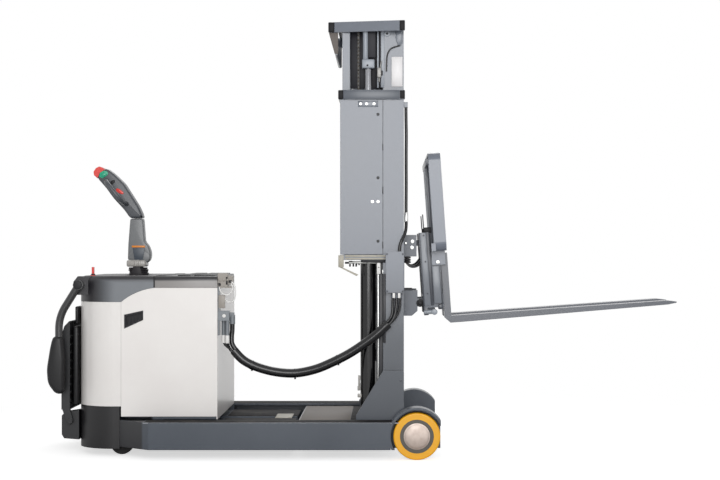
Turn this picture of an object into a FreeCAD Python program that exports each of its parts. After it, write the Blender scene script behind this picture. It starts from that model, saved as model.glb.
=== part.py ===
import FreeCAD, Part
import math
import os
from FreeCAD import Vector

# Electric pallet stacker with a reach carriage: a power unit on a steered drive wheel, two straddle
# legs with load wheels, and a two-stage mast that runs fore and aft between the legs.
# Millimetres. +X points to the fork tips, +Z up, and the machine's left side is -Y.
# While it is built, x is 0 at the load wheels' axle. At the end everything moves so that the
# origin lies under the middle of the whole machine, on the floor.

# Overall layout
overall_width = 1100.0
axle_to_drive = 1442.0          # load wheel axle back to the steering axis
floor_gap = 49.0                # under the legs
reach_stroke = 520.0            # back from the photograph's pose
lift_more = 880.0               # each stage, up from the photograph's pose
tilt_forward = 6.0              # degrees, from the photograph's pose
running_gap = 0.3               # between faces that slide or turn on each other
air_gap = 6.0                   # between moving pieces that never touch

# Load wheels
load_wheel_d = 230.0
load_wheel_width = 75.0
load_hub_d = 165.0
load_cover_d = 131.0
load_axle_d = 30.0
fender_gap = 12.0
fender_wall = 13.0
fender_front = 117.0            # flat front edge, ahead of the axle
cheek_wall = 14.0

# Straddle legs, channels that open inwards
leg_width = 130.0
leg_height = 133.0
leg_wall = 12.0
leg_front_gap = 8.0             # behind the fender
flare_front = 1310.0            # behind the axle: where the legs reach full width
flare_rear = 1472.0             # and where they meet the power unit's side

# Power unit
body_front = 987.0              # behind the axle
body_rear = 1697.0
body_inset = 135.0              # of the power unit's side from the legs' outer face
body_corner_r = 190.0
skirt_bottom = 38.0
skirt_top = 248.0
panel_bottom = 198.0
rear_panel_top = 766.0
side_panel_top = 836.0
body_top = 895.0
side_seam = 1465.0              # behind the axle
lid_seam = 1300.0
panel_wall = 6.0
skirt_wall = 8.0
seam_gap = 0.4
cover_overhang = 15.0           # of the top cover's lugs behind the body
past = 2000.0                   # reach of a cutting block past everything

# Deck between the legs
deck_front = 618.0              # behind the axle
deck_bottom = 60.0
deck_top = 150.0
deck_slot = 55.0                # half width of the reach cylinder's trough
deck_side_gap = 37.0            # between the deck and a leg's inner face
battery_tray_bottom = 184.0
battery_tray_top = 204.0

# Drive unit and casters
drive_wheel_d = 230.0
drive_wheel_width = 75.0
bridge_bottom = 262.0
bridge_wall = 12.0
motor_d = 170.0
motor_height = 280.0
caster_d = 115.0
caster_width = 40.0
caster_inset = 103.0            # of a caster's middle from the power unit's side
caster_trail = 25.0
caster_plate_z = 150.0

# Tiller
tiller_pivot_z = 955.0
tiller_pin_d = 16.0
tiller_half_width = 38.0
stem_top_z = 1188.0

# Platform, knee pad and side arms
platform_pin_gap = 41.0         # of the platform's pin behind the power unit
platform_pin_z = 165.0
platform_pin_d = 16.0
platform_inset = 97.0
platform_length = 444.0
platform_foot_z = 223.0
platform_rear_gap = 84.0        # of the folded platform's back behind the power unit
platform_depth = 42.0
hinge_depth = 87.0
hinge_inset = 119.0
knee_pad_inset = 115.0
knee_pad_depth = 34.0
arm_pivot_inset = 17.0           # of its pin ahead of the power unit's rear
arm_pivot_z = 850.0
arm_inset = 30.0
arm_tube_d = 38.0
arm_drop_gap = 82.0             # of an arm's drop behind the power unit
arm_bend_z = 692.0
pad_top_z = 598.0
pad_bottom_z = 307.0
pad_thick = 60.0

# Mast carriage
carriage_bed_bottom = 156.0
carriage_bed_wall = 12.0
carriage_bed_rear = 590.0
gusset_rear = 300.0
gusset_top_rear = 166.0
gusset_top = 424.0
gusset_wall = 16.0
carriage_roller_d = 97.0
carriage_roller_width = 34.0

# Outer mast
mast_side_gap = 55.0            # between the mast and a leg's inner face
channel_front = 62.0            # behind the axle
channel_depth = 104.0
channel_flange = 62.0
channel_wall = 13.0
outer_top = 1775.0
outer_strap_height = 47.0
strap_wall = 12.0
cover_rear = 380.0
cover_bottom = 997.0
cover_wall = 4.0
mast_roller_d = 66.0

# Inner mast, shown raised
stage_raise = 290.0             # above its lowest place, in the photograph's pose
stage_gap = 6.0                 # between the two masts, side by side
inner_flange = 60.0
inner_strap_height = 51.0
inner_strap_rear = 440.0
inner_strap_taper = 80.0        # inward on each side, toward the rear
strap_gap = 7.0                 # between the inner and the outer strap, fully lowered
pulley_d = 160.0
pulley_x = 210.0
pulley_drop = 59.0              # of the pulley's middle under the inner strap
chain_inset = 55.0              # of the chain's middle from the fork carriage's side
chain_width = 26.0
chain_thick = 14.0

# Lift cylinders
barrel_d = 80.0
lift_x = 240.0
lift_inset = 63.0               # of a lift cylinder's middle from the mast's side
lift_rod_d = 36.0
barrel_drop = 135.0             # of the barrel's top under the outer mast's
crosshead_drop = 180.0          # of the crosshead under the inner strap
crosshead_height = 43.0
chain_anchor_z = 1000.0

# Fork carriage and tilting frame
carriage_side_gap = 92.0        # between the fork carriage and the inner mast's outer face
carriage_plate_wall = 16.0
carriage_foot_z = 762.0         # the side plates' lower ends
upper_block_top = 1101.0
upper_block_height = 110.0
lower_block_bottom = 689.0
lower_block_height = 130.0
pin_x = 20.0                    # ahead of the axle
pin_z = 756.0
pin_d = 30.0
tilt_back = 4.0                 # degrees, in the photograph's pose
tilt_eye_x = 0.0                # the tilt cylinder's front pin
tilt_eye_drop = 41.0            # of that pin under the upper block's top
tilt_pin_d = 19.0
tilt_eye_play = 3.0             # round that pin, taken up as the frame tilts
tilt_rod_d = 30.0

# Forks and backrest, measured from the tilt pin with the frame upright
shank_back = 122.0
fork_thick = 35.0
fork_width = 100.0
fork_length = 1150.0
fork_inset = 55.0               # of a fork's middle from the fork carriage's side
blade_top = -78.0
shank_drop = 107.0              # of a shank's top under the frame's top
frame_back = 23.0
frame_thick = 32.0
frame_top_rise = 48.0           # of the frame's top over the tilt cylinder's front pin
frame_bottom = -29.0
frame_overlap = 20.0            # of the frame past the fork carriage's side
rest_back = 90.0
rest_depth = 62.0
rest_drop = 96.0                # of the backrest's foot under the frame's top
rest_height = 495.0
rest_overlap = 135.0            # of the backrest past the fork carriage's side
rest_corner_r = 45.0
rest_wall = 12.0

# Hoses, as points of their routes
bundle_d = 45.0
bundle_route = [(-909, -370, 523), (-880, -372, 487), (-838, -374, 459), (-785, -377, 437), (-722, -380, 420),
                (-658, -382, 411), (-592, -385, 410), (-498, -388, 430), (-416, -392, 466),
                (-333, -395, 508), (-251, -398, 563), (-192, -400, 608), (-140, -400, 658)]
thick_hose_d = 24.0
thin_hose_d = 14.0
front_hose_d = 16.0
body_hose_routes = [
    (thick_hose_d, [(-918, -362, 655), (-918, -362, 622), (-922, -364, 590), (-920.7, -368.7, 552.6), (-901.9, -370, 529.3)]),
    (thin_hose_d, [(-940, -388, 585), (-940, -388, 562), (-931.8, -377, 533.8), (-918, -378, 516.7)]),
    (thin_hose_d, [(-962, -362, 585), (-962, -362, 570), (-957, -362, 555), (-946, -361.5, 543.5), (-931.4, -361, 533.3),
                   (-917.6, -362, 516.2)]),
]
mast_hose_routes = [
    (thin_hose_d, [(-146.3, -400, 665.1), (-130.4, -400, 680.3), (-119, -398, 708), (-117, -394, 748), (-117, -394, 784)]),
    (thin_hose_d, [(-136.4, -391.8, 654.9), (-120.5, -391.8, 670.1), (-96, -393, 698), (-81, -394, 740), (-81, -394, 784)]),
    (thin_hose_d, [(-136.4, -408.2, 654.9), (-120.5, -408.2, 670.1), (-106, -405, 702), (-99, -394, 746), (-99, -394, 784)]),
]
# The routes above are drawn for these places, and move along with them
route_body = (-987, -415, 895)  # the power unit's front, side and top
route_mast = (-62, -365, 784)   # the mast channel's front, the mast's side, the fittings' ends
hose_box_bottom = 812.0
hose_box_top = 1016.0
# Front hose on the mast: ahead of the channel's front, in from the mast's side, share of the height to its clip
front_hose_line = [(-22, -23, 0), (-22, -23, 0.036), (-10, -19, 0.08), (8, -5, 0.127), (13, 18, 0.188), (11, 29, 0.291),
                   (12.5, 32, 0.457), (11.5, 30, 0.643), (13, 32, 0.809), (11, 29, 0.934), (11, 28, 1)]

# Heights and places worked out from the sizes above
load_wheel_r = load_wheel_d / 2
leg_outer = overall_width / 2
leg_inner = leg_outer - leg_width
body_half_width = leg_outer - body_inset
platform_pin_x = body_rear + platform_pin_gap
platform_rear = body_rear + platform_rear_gap
hinge_rear = body_rear + hinge_depth
arm_drop_x = body_rear + arm_drop_gap
arm_pivot_x = body_rear - arm_pivot_inset
deck_half_width = leg_inner - deck_side_gap
caster_y = body_half_width - caster_inset
platform_half_width = body_half_width - platform_inset
hinge_half_width = body_half_width - hinge_inset
knee_pad_half_width = body_half_width - knee_pad_inset
arm_y = body_half_width - arm_inset
mast_half_width = leg_inner - mast_side_gap
lift_y = mast_half_width - lift_inset
upper_block_bottom = upper_block_top - upper_block_height
lower_block_top = lower_block_bottom + lower_block_height
tilt_eye_z = upper_block_top - tilt_eye_drop
barrel_top = outer_top - barrel_drop
leg_top = floor_gap + leg_height
wheel_outer_y = leg_outer
wheel_inner_y = leg_outer - load_wheel_width
cheek_outer_y = wheel_inner_y - 8.0
cheek_inner_y = cheek_outer_y - cheek_wall
fender_inner_r = load_wheel_r + fender_gap
fender_outer_r = fender_inner_r + fender_wall
leg_end = -(fender_outer_r + leg_front_gap)
channel_rear = channel_front + channel_depth
inner_outer_y = mast_half_width - channel_flange - stage_gap
carriage_half_width = inner_outer_y - carriage_side_gap
chain_y = carriage_half_width - chain_inset
fork_centre_y = carriage_half_width - fork_inset
frame_half_width = carriage_half_width + frame_overlap
rest_half_width = carriage_half_width + rest_overlap
frame_top = tilt_eye_z - pin_z + frame_top_rise
rest_bottom = frame_top - rest_drop
rest_top = rest_bottom + rest_height
shank_top = frame_top - shank_drop
outer_strap_top = outer_top + outer_strap_height
inner_strap_bottom = outer_strap_top + stage_raise + strap_gap
pulley_z = inner_strap_bottom - pulley_drop
crosshead_bottom = inner_strap_bottom - crosshead_drop
inner_top = inner_strap_bottom + inner_strap_height
carriage_bed_top = carriage_bed_bottom + carriage_bed_wall
fork_tip = shank_back + fork_thick + fork_length
nodes = {}


def box(x0, x1, y0, y1, z0, z1):
    return Part.makeBox(x1 - x0, y1 - y0, z1 - z0, Vector(x0, y0, z0))


def rod(radius, start, end):
    start, end = Vector(*start), Vector(*end)
    return Part.makeCylinder(radius, (end - start).Length, start, end - start)


def joined(shapes):
    """One solid from shapes that touch."""
    return shapes[0].multiFuse(shapes[1:]).removeSplitter()


def mirrored(shape):
    return shape.mirror(Vector(0, 0, 0), Vector(0, 1, 0))


def side_prism(points, y0, y1):
    """A solid with an outline given as (x, z), from y0 to y1."""
    corners = [Vector(x, y0, z) for x, z in points]
    return Part.Face(Part.makePolygon(corners + corners[:1])).extrude(Vector(0, y1 - y0, 0))


def plan_prism(points, z0, z1):
    """A solid with an outline given as (x, y), from z0 to z1."""
    corners = [Vector(x, y, z0) for x, y in points]
    return Part.Face(Part.makePolygon(corners + corners[:1])).extrude(Vector(0, 0, z1 - z0))


def rounded(shape, radius, wanted):
    """The shape with the edges that wanted(edge) picks rounded off."""
    return shape.makeFillet(radius, [e for e in shape.Edges if wanted(e)])


def along(edge, axis):
    """Whether a straight edge runs along x, y or z."""
    if not isinstance(edge.Curve, Part.Line):
        return False
    way = edge.Vertexes[1].Point - edge.Vertexes[0].Point
    return abs(getattr(way, axis)) > 0.999 * way.Length


def tube(diameter, route):
    """A round tube along straight runs joined by arcs, each as large as its runs allow."""
    points = [Vector(*p) for p in route]
    edges, last = [], points[0]
    for before, here, after in zip(points, points[1:], points[2:]):
        way_in, way_out = (here - before), (after - here)
        shorter = 0.45 * min(way_in.Length, way_out.Length)
        way_in.normalize()
        way_out.normalize()
        start, end = here - way_in * shorter, here + way_out * shorter
        middle = (way_out - way_in).normalize()
        turn = way_in.getAngle(way_out)
        radius = shorter / math.tan(turn / 2)
        top = here + middle * (radius / math.cos(turn / 2) - radius)
        edges += [Part.LineSegment(last, start).toShape(), Part.Arc(start, top, end).toShape()]
        last = end
        print(f"cord {diameter:.0f} mm: arc radius {radius:.0f} mm")
    edges.append(Part.LineSegment(last, points[-1]).toShape())
    path = Part.Wire(edges)
    ring = Part.Wire(Part.Circle(points[0], points[1] - points[0], diameter / 2).toShape())
    solid = path.makePipeShell([ring], True, False)
    print(f"  volume {solid.Volume:.0f}, section by length {math.pi * diameter ** 2 / 4 * path.Length:.0f}")
    return solid


def body_plan(inset, z0, z1):
    """The power unit's plan shape, square in front and with large rear corners, as a solid."""
    rear, front = -body_rear + inset, -body_front - inset
    half, r = body_half_width - inset, body_corner_r - inset
    s = math.sqrt(0.5)
    points = {
        "front_left": Vector(front, -half, z0), "front_right": Vector(front, half, z0),
        "right": Vector(rear + r, half, z0), "right_mid": Vector(rear + r - r * s, half - r + r * s, z0),
        "rear_right": Vector(rear, half - r, z0), "rear_left": Vector(rear, -half + r, z0),
        "left_mid": Vector(rear + r - r * s, -half + r - r * s, z0), "left": Vector(rear + r, -half, z0),
    }
    p = points
    edges = [
        Part.LineSegment(p["front_left"], p["front_right"]).toShape(),
        Part.LineSegment(p["front_right"], p["right"]).toShape(),
        Part.Arc(p["right"], p["right_mid"], p["rear_right"]).toShape(),
        Part.LineSegment(p["rear_right"], p["rear_left"]).toShape(),
        Part.Arc(p["rear_left"], p["left_mid"], p["left"]).toShape(),
        Part.LineSegment(p["left"], p["front_left"]).toShape(),
    ]
    return Part.Face(Part.Wire(edges)).extrude(Vector(0, 0, z1 - z0))


def body_shell(wall, z0, z1):
    return body_plan(0, z0, z1).cut(body_plan(wall, z0 - 1, z1 + 1))


# Straddle legs: channel, flared rear end, cheek, fender and stub axle in one welding
def leg():
    web = box(-flare_front, leg_end, -leg_outer, -leg_outer + leg_wall, floor_gap, leg_top)
    top = box(-flare_front, leg_end, -leg_outer, -leg_inner, leg_top - leg_wall, leg_top)
    bottom = box(-flare_front, leg_end, -leg_outer, -leg_inner, floor_gap, floor_gap + leg_wall)
    flare = plan_prism([(-flare_rear, -body_half_width), (-flare_front, -leg_outer),
                        (-body_front, -leg_outer), (-body_front, -leg_inner),
                        (-flare_front, -leg_inner), (-flare_rear, -body_half_width + skirt_wall)],
                       floor_gap, leg_top)
    cheek_reach = leg_end - 20
    disc = rod(fender_outer_r, (0, -cheek_outer_y, load_wheel_r), (0, -cheek_inner_y, load_wheel_r))
    keep = box(-fender_outer_r, fender_front, -leg_outer, 0, floor_gap, 2 * fender_outer_r)
    cheek = joined([disc.common(keep), box(cheek_reach, 0, -cheek_outer_y, -cheek_inner_y, floor_gap, leg_top)])
    hood = rod(fender_outer_r, (0, -leg_outer, load_wheel_r), (0, -cheek_outer_y, load_wheel_r))
    hood = hood.cut(rod(fender_inner_r, (0, -leg_outer - 1, load_wheel_r), (0, -cheek_outer_y + 1, load_wheel_r)))
    hood = hood.common(box(-fender_outer_r, fender_front, -leg_outer, 0, floor_gap, 2 * fender_outer_r))
    hood = hood.cut(box(-fender_outer_r * 0.7, fender_outer_r, -leg_outer - 1, 0, 0, load_wheel_r * 0.6))
    bridge = box(leg_end - 1, -fender_inner_r - 1, -leg_outer, -cheek_outer_y, floor_gap, leg_top)
    bridge = bridge.cut(rod(fender_inner_r, (0, -leg_outer - 1, load_wheel_r), (0, 0, load_wheel_r)))
    axle = rod(load_axle_d / 2, (0, -cheek_outer_y, load_wheel_r), (0, -leg_outer + 16, load_wheel_r))
    return joined([web, top, bottom, flare, cheek, hood, bridge, axle])


left_leg = leg()
nodes["straddle_legs"] = [left_leg, mirrored(left_leg)]


# Load wheels: polyurethane tyre on a steel hub with a domed cover
def load_tyre():
    outer = rod(load_wheel_r, (0, -wheel_outer_y, load_wheel_r), (0, -wheel_inner_y, load_wheel_r))
    outer = rounded(outer, 8, lambda e: isinstance(e.Curve, Part.Circle))
    return outer.cut(rod(load_hub_d / 2, (0, -wheel_outer_y - 1, load_wheel_r), (0, 0, load_wheel_r)))


def load_hub():
    hub = rod(load_hub_d / 2, (0, -wheel_outer_y + 2, load_wheel_r), (0, -wheel_inner_y - 2, load_wheel_r))
    hub = hub.cut(rod(load_cover_d / 2, (0, -wheel_outer_y, load_wheel_r), (0, -wheel_outer_y + 5, load_wheel_r)))
    bore = load_axle_d / 2 + 0.05
    return hub.cut(rod(bore, (0, -wheel_outer_y + 15, load_wheel_r), (0, 0, load_wheel_r)))


for side, turn in (("left", lambda s: s), ("right", mirrored)):
    nodes[f"load_tyre_{side}"] = [turn(load_tyre())]
    nodes[f"load_hub_{side}"] = [turn(load_hub())]

# Chassis: deck with a trough for the reach cylinder, crossbeam, and the bridge over the drive wheel
beam_front, beam_rear = -(flare_front - 60), -flare_front
side_floor = box(beam_rear, -deck_front, deck_slot, deck_half_width, deck_bottom, deck_top)
side_hollow = box(beam_front, -deck_front - 12, deck_slot + 10, deck_half_width - 10, deck_bottom - 1, deck_top - 10)
half_deck = side_floor.cut(side_hollow)
trough = box(beam_rear, -deck_front, -deck_slot, deck_slot, deck_bottom, deck_bottom + 8)
crossbeam = box(beam_rear, beam_front, -leg_inner, leg_inner, deck_bottom, leg_top)
carrier = body_plan(skirt_wall + running_gap, caster_plate_z, caster_plate_z + bridge_wall)
carrier = carrier.common(box(-body_rear, beam_rear, -body_half_width, body_half_width, 0, bridge_bottom))
carrier = carrier.cut(rod(150, (-axle_to_drive, 0, 0), (-axle_to_drive, 0, 400)))
tray = box(beam_rear, -body_front - panel_wall, -body_half_width + panel_wall, body_half_width - panel_wall,
           battery_tray_bottom, battery_tray_top)
tray_foot = box(beam_rear, beam_front, -leg_inner + 60, leg_inner - 60, leg_top - 1, battery_tray_bottom)
bridge_wall_y = 170.0
bridge = box(-axle_to_drive - 165, beam_rear + 20, -bridge_wall_y, bridge_wall_y,
             caster_plate_z, bridge_bottom + bridge_wall)
bridge = bridge.cut(box(-axle_to_drive - 153, beam_rear + 8, -bridge_wall_y + 12, bridge_wall_y - 12, 0, bridge_bottom))
bridge = bridge.cut(rod(60, (-axle_to_drive, 0, 0), (-axle_to_drive, 0, 400)))
nodes["chassis_frame"] = [joined([half_deck, mirrored(half_deck), trough, crossbeam, carrier, bridge, tray, tray_foot])]

# Power unit's panels
rear_cut = box(-body_rear - 1, -flare_rear, -past, past, 0, past)
nodes["rear_skirt"] = [body_shell(skirt_wall, skirt_bottom, skirt_top).common(rear_cut)]
seam_cut = box(-body_rear - 1, -side_seam, -past, past, 0, past)
nodes["rear_cover"] = [body_shell(panel_wall, skirt_top + seam_gap, rear_panel_top).common(seam_cut)]

cover_sweep_x = -1300.0
grip_outline = [(-1449, 703), (-1355, 724), (-1355, 677), (-1449, 634)]
grip_inner = [(-1441, 694), (-1363, 712), (-1363, 683), (-1441, 648)]


def side_face(y, low, gap, front):
    """The side panel's outline at y, its swept top edge raised by gap."""
    rear, high = -side_seam + seam_gap - gap, side_panel_top + gap
    places = [(rear, rear_panel_top + gap),
              (rear + 0.453 * (cover_sweep_x - rear), rear_panel_top + 0.657 * (side_panel_top - rear_panel_top) + gap),
              (cover_sweep_x, high)]
    arc = Part.Arc(*[Vector(x, y, z) for x, z in places]).toShape()
    corners = [(cover_sweep_x, high), (front, high), (front, low), (rear, low), (rear, rear_panel_top + gap)]
    lines = [Part.LineSegment(Vector(a[0], y, a[1]), Vector(b[0], y, b[1])).toShape()
             for a, b in zip(corners, corners[1:])]
    return Part.Face(Part.Wire([arc] + lines))


def side_cover():
    plate = side_face(-body_half_width, panel_bottom, 0, -body_front).extrude(Vector(0, panel_wall, 0))
    return plate.cut(side_prism(grip_outline, -body_half_width - 1, -body_half_width + 20))


nodes["side_covers"] = [side_cover(), mirrored(side_cover())]
grip = side_prism(grip_outline, -body_half_width - 2, -body_half_width + 14)
grip = grip.cut(side_prism(grip_inner, -body_half_width - 3, -body_half_width + 8))
nodes["side_grips"] = [grip, mirrored(grip)]
nodes["front_panel"] = [box(-body_front - panel_wall, -body_front, -body_half_width + panel_wall + seam_gap,
                            body_half_width - panel_wall - seam_gap, battery_tray_bottom, side_panel_top)]

# Top cover, hollow underneath, with its lugs for the side arms, and the battery lid in front of it
top_wall = 8.0
top_solid = body_plan(0, rear_panel_top + seam_gap, body_top).common(
    box(-body_rear - 1, -lid_seam - 2, -past, past, 0, past))
top_solid = rounded(top_solid, 26, lambda e: e.BoundBox.ZMin > body_top - 1 and e.BoundBox.XMax < -lid_seam - 3)
inside = body_plan(top_wall, rear_panel_top, body_top - top_wall)
side_trim = side_face(-body_half_width - 50, rear_panel_top - 100, seam_gap, -body_front + 50).extrude(
    Vector(0, 2 * body_half_width + 100, 0))
top_solid = top_solid.cut(inside).cut(side_trim)
top_solid = top_solid.cut(rod(75, (-axle_to_drive, 0, rear_panel_top - 50), (-axle_to_drive, 0, past)))


def arm_lug():
    block = side_prism([(-body_rear - cover_overhang, body_top - 30), (-body_rear - cover_overhang + 22, body_top - 2),
                        (-body_rear + 137, body_top - 2), (-body_rear + 137, body_top - 95), (-body_rear, body_top - 95),
                        (-body_rear - cover_overhang + 4, body_top - 65)],
                       -arm_y + arm_tube_d / 2 + 3, -arm_y + arm_tube_d / 2 + 23)
    pin = rod(12, (-arm_pivot_x, -arm_y - 24, arm_pivot_z), (-arm_pivot_x, -arm_y + arm_tube_d / 2 + 4, arm_pivot_z))
    head = rod(17, (-arm_pivot_x, -arm_y - 27, arm_pivot_z), (-arm_pivot_x, -arm_y - 22, arm_pivot_z))
    return joined([block, pin, head])


lever_y = -body_half_width + 130
lever_x = -body_rear + 69
lever_base = (lever_x - 12, lever_x + 12, lever_y - 15, lever_y + 15, body_top - 23, body_top + 3)
lever_slot = box(*[v + (running_gap if k % 2 else -running_gap) for k, v in enumerate(lever_base[:5])], body_top + 50)
lever_pad = box(lever_x - 18, lever_x + 20, lever_y - 23, lever_y + 23, body_top - 31, body_top - top_wall + 1).common(body_plan(2, rear_panel_top, body_top))
nodes["top_cover"] = [joined([top_solid, lever_pad, arm_lug(), mirrored(arm_lug())]).cut(lever_slot)]

lid = body_plan(0, side_panel_top + seam_gap, body_top).common(box(-lid_seam, -900, -past, past, 0, past))
lid = lid.cut(box(-lid_seam - 1, -body_front - 10, -body_half_width + 10, body_half_width - 10, 0, body_top - 10))
lid = lid.makeChamfer(8, [e for e in lid.Edges if along(e, "x") and e.BoundBox.ZMin > body_top - 1
                          and abs(e.BoundBox.YMax) > body_half_width - 1])
nodes["battery_lid"] = [lid]
nodes["battery_block"] = [box(-lid_seam + 15, -body_front - 18, -body_half_width + 85, body_half_width - 85,
                              battery_tray_top, side_panel_top - 16)]
nodes["stop_lever"] = [joined([box(*lever_base), box(lever_x - 6, lever_x + 6, lever_y - 6, lever_y + 6, body_top - 5, body_top + 43)])]

# Rear of the power unit: knee pad, platform hinge and folding platform
pad_rear = -body_rear - knee_pad_depth
nodes["knee_pad"] = [side_prism([(-body_rear, 240), (-body_rear, 742), (-body_rear - 12, 736), (-body_rear - 20, 690),
                                 (-body_rear - 22, 650), (pad_rear, 636), (pad_rear, 240)],
                                -knee_pad_half_width, knee_pad_half_width)]
hinge_side = side_prism([(-hinge_rear, 96), (-hinge_rear + 12, 76), (-body_rear, 70), (-body_rear, 219), (-hinge_rear + 16, 208),
                         (-hinge_rear, 190)], -hinge_half_width, -hinge_half_width + 70)
hinge_bar = box(-body_rear - 32, -body_rear, -hinge_half_width, hinge_half_width, 80, 130)
hinge = joined([hinge_side, mirrored(hinge_side), hinge_bar])
pin_hole = rod(platform_pin_d / 2 + 0.05, (-platform_pin_x, -past, platform_pin_z), (-platform_pin_x, past, platform_pin_z))
nodes["platform_hinge"] = [hinge.cut(pin_hole)]


def platform():
    top_z, front = platform_foot_z + platform_length, -platform_rear + platform_depth
    tray = side_prism([(-platform_rear, platform_foot_z), (-platform_rear, top_z - 74), (-platform_rear + 14, top_z - 26),
                       (front - 3, top_z), (front, top_z - 8), (front, platform_foot_z)],
                      -platform_half_width, platform_half_width)
    ear = side_prism([(-platform_rear + 4, platform_foot_z + 1), (front, platform_foot_z + 1),
                      (-platform_pin_x + 16, platform_pin_z), (-platform_pin_x, platform_pin_z - 18),
                      (-platform_pin_x - 18, platform_pin_z)], -platform_half_width, -hinge_half_width - 2)
    pin = rod(platform_pin_d / 2, (-platform_pin_x, -hinge_half_width - 10, platform_pin_z),
              (-platform_pin_x, -hinge_half_width + 60, platform_pin_z))
    bolt = rod(13, (-platform_pin_x, -platform_half_width - 8, platform_pin_z), (-platform_pin_x, -platform_half_width + 1, platform_pin_z))
    half = [ear, pin, bolt]
    return joined([tray] + half + [mirrored(s) for s in half])


nodes["platform"] = [platform()]


# Side arms hang from the top cover's lugs
def side_arm():
    bend = [(-arm_pivot_x, -arm_y, arm_pivot_z), (-arm_drop_x, -arm_y, arm_bend_z), (-arm_drop_x, -arm_y, pad_top_z - 40)]
    bar = tube(arm_tube_d, bend)
    eye_half = arm_tube_d / 2 + 2
    eye = rod(25, (-arm_pivot_x, -arm_y - eye_half, arm_pivot_z), (-arm_pivot_x, -arm_y + eye_half, arm_pivot_z))
    hole = rod(12.3, (-arm_pivot_x, -arm_y - 100, arm_pivot_z), (-arm_pivot_x, -arm_y + 100, arm_pivot_z))
    return joined([bar, eye]).cut(hole)


def arm_pad():
    middle = (pad_top_z + pad_bottom_z) / 2
    pad = side_prism([(-arm_drop_x - 29, pad_top_z), (-arm_drop_x + 21, pad_top_z), (-arm_drop_x + 32, middle + 28),
                      (-arm_drop_x + 32, pad_bottom_z + 10), (-arm_drop_x + 19, pad_bottom_z), (-arm_drop_x - 16, pad_bottom_z),
                      (-arm_drop_x - 47, pad_bottom_z + 43), (-arm_drop_x - 60, pad_bottom_z + 93), (-arm_drop_x - 53, middle + 18)],
                     -arm_y - pad_thick / 2, -arm_y + pad_thick / 2)
    socket = rod(arm_tube_d / 2 + 0.05, (-arm_drop_x, -arm_y, pad_top_z - 40.5), (-arm_drop_x, -arm_y, pad_top_z + 1))
    return pad.cut(socket)


for side, turn in (("left", lambda s: s), ("right", mirrored)):
    nodes[f"side_arm_{side}"] = [turn(side_arm())]
    nodes[f"arm_pad_{side}"] = [turn(arm_pad())]

# Drive unit: motor over the bridge, reduction box and fork under it, steering column up to the tiller
drive_r = drive_wheel_d / 2
motor_bottom = bridge_bottom + bridge_wall + running_gap
motor = rod(motor_d / 2, (-axle_to_drive, 0, motor_bottom), (-axle_to_drive, 0, motor_bottom + motor_height))
neck = rod(59.5, (-axle_to_drive, 0, bridge_bottom - 10), (-axle_to_drive, 0, motor_bottom + 5))
turntable = rod(115, (-axle_to_drive, 0, 240), (-axle_to_drive, 0, bridge_bottom - running_gap))
gearbox = box(-axle_to_drive - 70, -axle_to_drive + 70, drive_wheel_width / 2 + 8, 100, 55, 245)
drive_axle = rod(20, (-axle_to_drive, -drive_wheel_width / 2 + 5, drive_r), (-axle_to_drive, 60, drive_r))
column = rod(25, (-axle_to_drive, 0, motor_bottom + motor_height - 5), (-axle_to_drive, 0, body_top - 10))
nodes["drive_unit"] = [joined([motor, neck, turntable, gearbox, drive_axle, column])]
wheel = rod(drive_r, (-axle_to_drive, -drive_wheel_width / 2, drive_r), (-axle_to_drive, drive_wheel_width / 2, drive_r))
wheel = rounded(wheel, 8, lambda e: isinstance(e.Curve, Part.Circle))
wheel_bore = rod(20.05, (-axle_to_drive, -drive_wheel_width / 2 + 4, drive_r), (-axle_to_drive, 60, drive_r))
nodes["drive_wheel"] = [wheel.cut(wheel_bore)]

# Tiller: yoke on the column, stem on a cross pin, control head leaning back
yoke_base = rod(52, (-axle_to_drive, 0, body_top - 10), (-axle_to_drive, 0, body_top + 15))
yoke_ear = box(-axle_to_drive - 34, -axle_to_drive + 34, -tiller_half_width - 14, -tiller_half_width - 2, body_top + 10, tiller_pivot_z)
yoke_top = rod(34, (-axle_to_drive, -tiller_half_width - 14, tiller_pivot_z), (-axle_to_drive, -tiller_half_width - 2, tiller_pivot_z))
tiller_pin = rod(tiller_pin_d / 2, (-axle_to_drive, -tiller_half_width - 14, tiller_pivot_z), (-axle_to_drive, tiller_half_width + 14, tiller_pivot_z))
nodes["tiller_yoke"] = [joined([yoke_base, yoke_ear, yoke_top, mirrored(yoke_ear), mirrored(yoke_top), tiller_pin])]
stem = side_prism([(-axle_to_drive + x, z) for x, z in (
    (-50, tiller_pivot_z + 30), (-44, stem_top_z), (18, stem_top_z), (31, tiller_pivot_z + 125), (50, tiller_pivot_z + 90),
    (57, tiller_pivot_z + 55), (50, tiller_pivot_z + 30))], -32, 32)
barrel = rod(36, (-axle_to_drive, -tiller_half_width, tiller_pivot_z), (-axle_to_drive, tiller_half_width, tiller_pivot_z))
clamp = side_prism([(-axle_to_drive - 36, tiller_pivot_z), (-axle_to_drive - 52, tiller_pivot_z + 32),
                    (-axle_to_drive + 52, tiller_pivot_z + 32), (-axle_to_drive + 36, tiller_pivot_z)], -tiller_half_width, tiller_half_width)
stem_hole = rod(tiller_pin_d / 2 + 0.05, (-axle_to_drive, -100, tiller_pivot_z), (-axle_to_drive, 100, tiller_pivot_z))
nodes["tiller_stem"] = [joined([stem, barrel, clamp]).cut(stem_hole)]


def from_stem_top(points):
    """Points given from the middle of the stem's top, as places."""
    return [(-axle_to_drive + p[0], *p[1:-1], stem_top_z + p[-1]) for p in points]


head = side_prism(from_stem_top([(-44, 0), (-71, 37), (-130, 96), (-170, 147), (-213, 210), (-198, 232), (-170, 244),
                                 (-130, 220), (-57, 140), (-13, 74), (18, 17), (18, 0)]), -45, 45)


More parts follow.
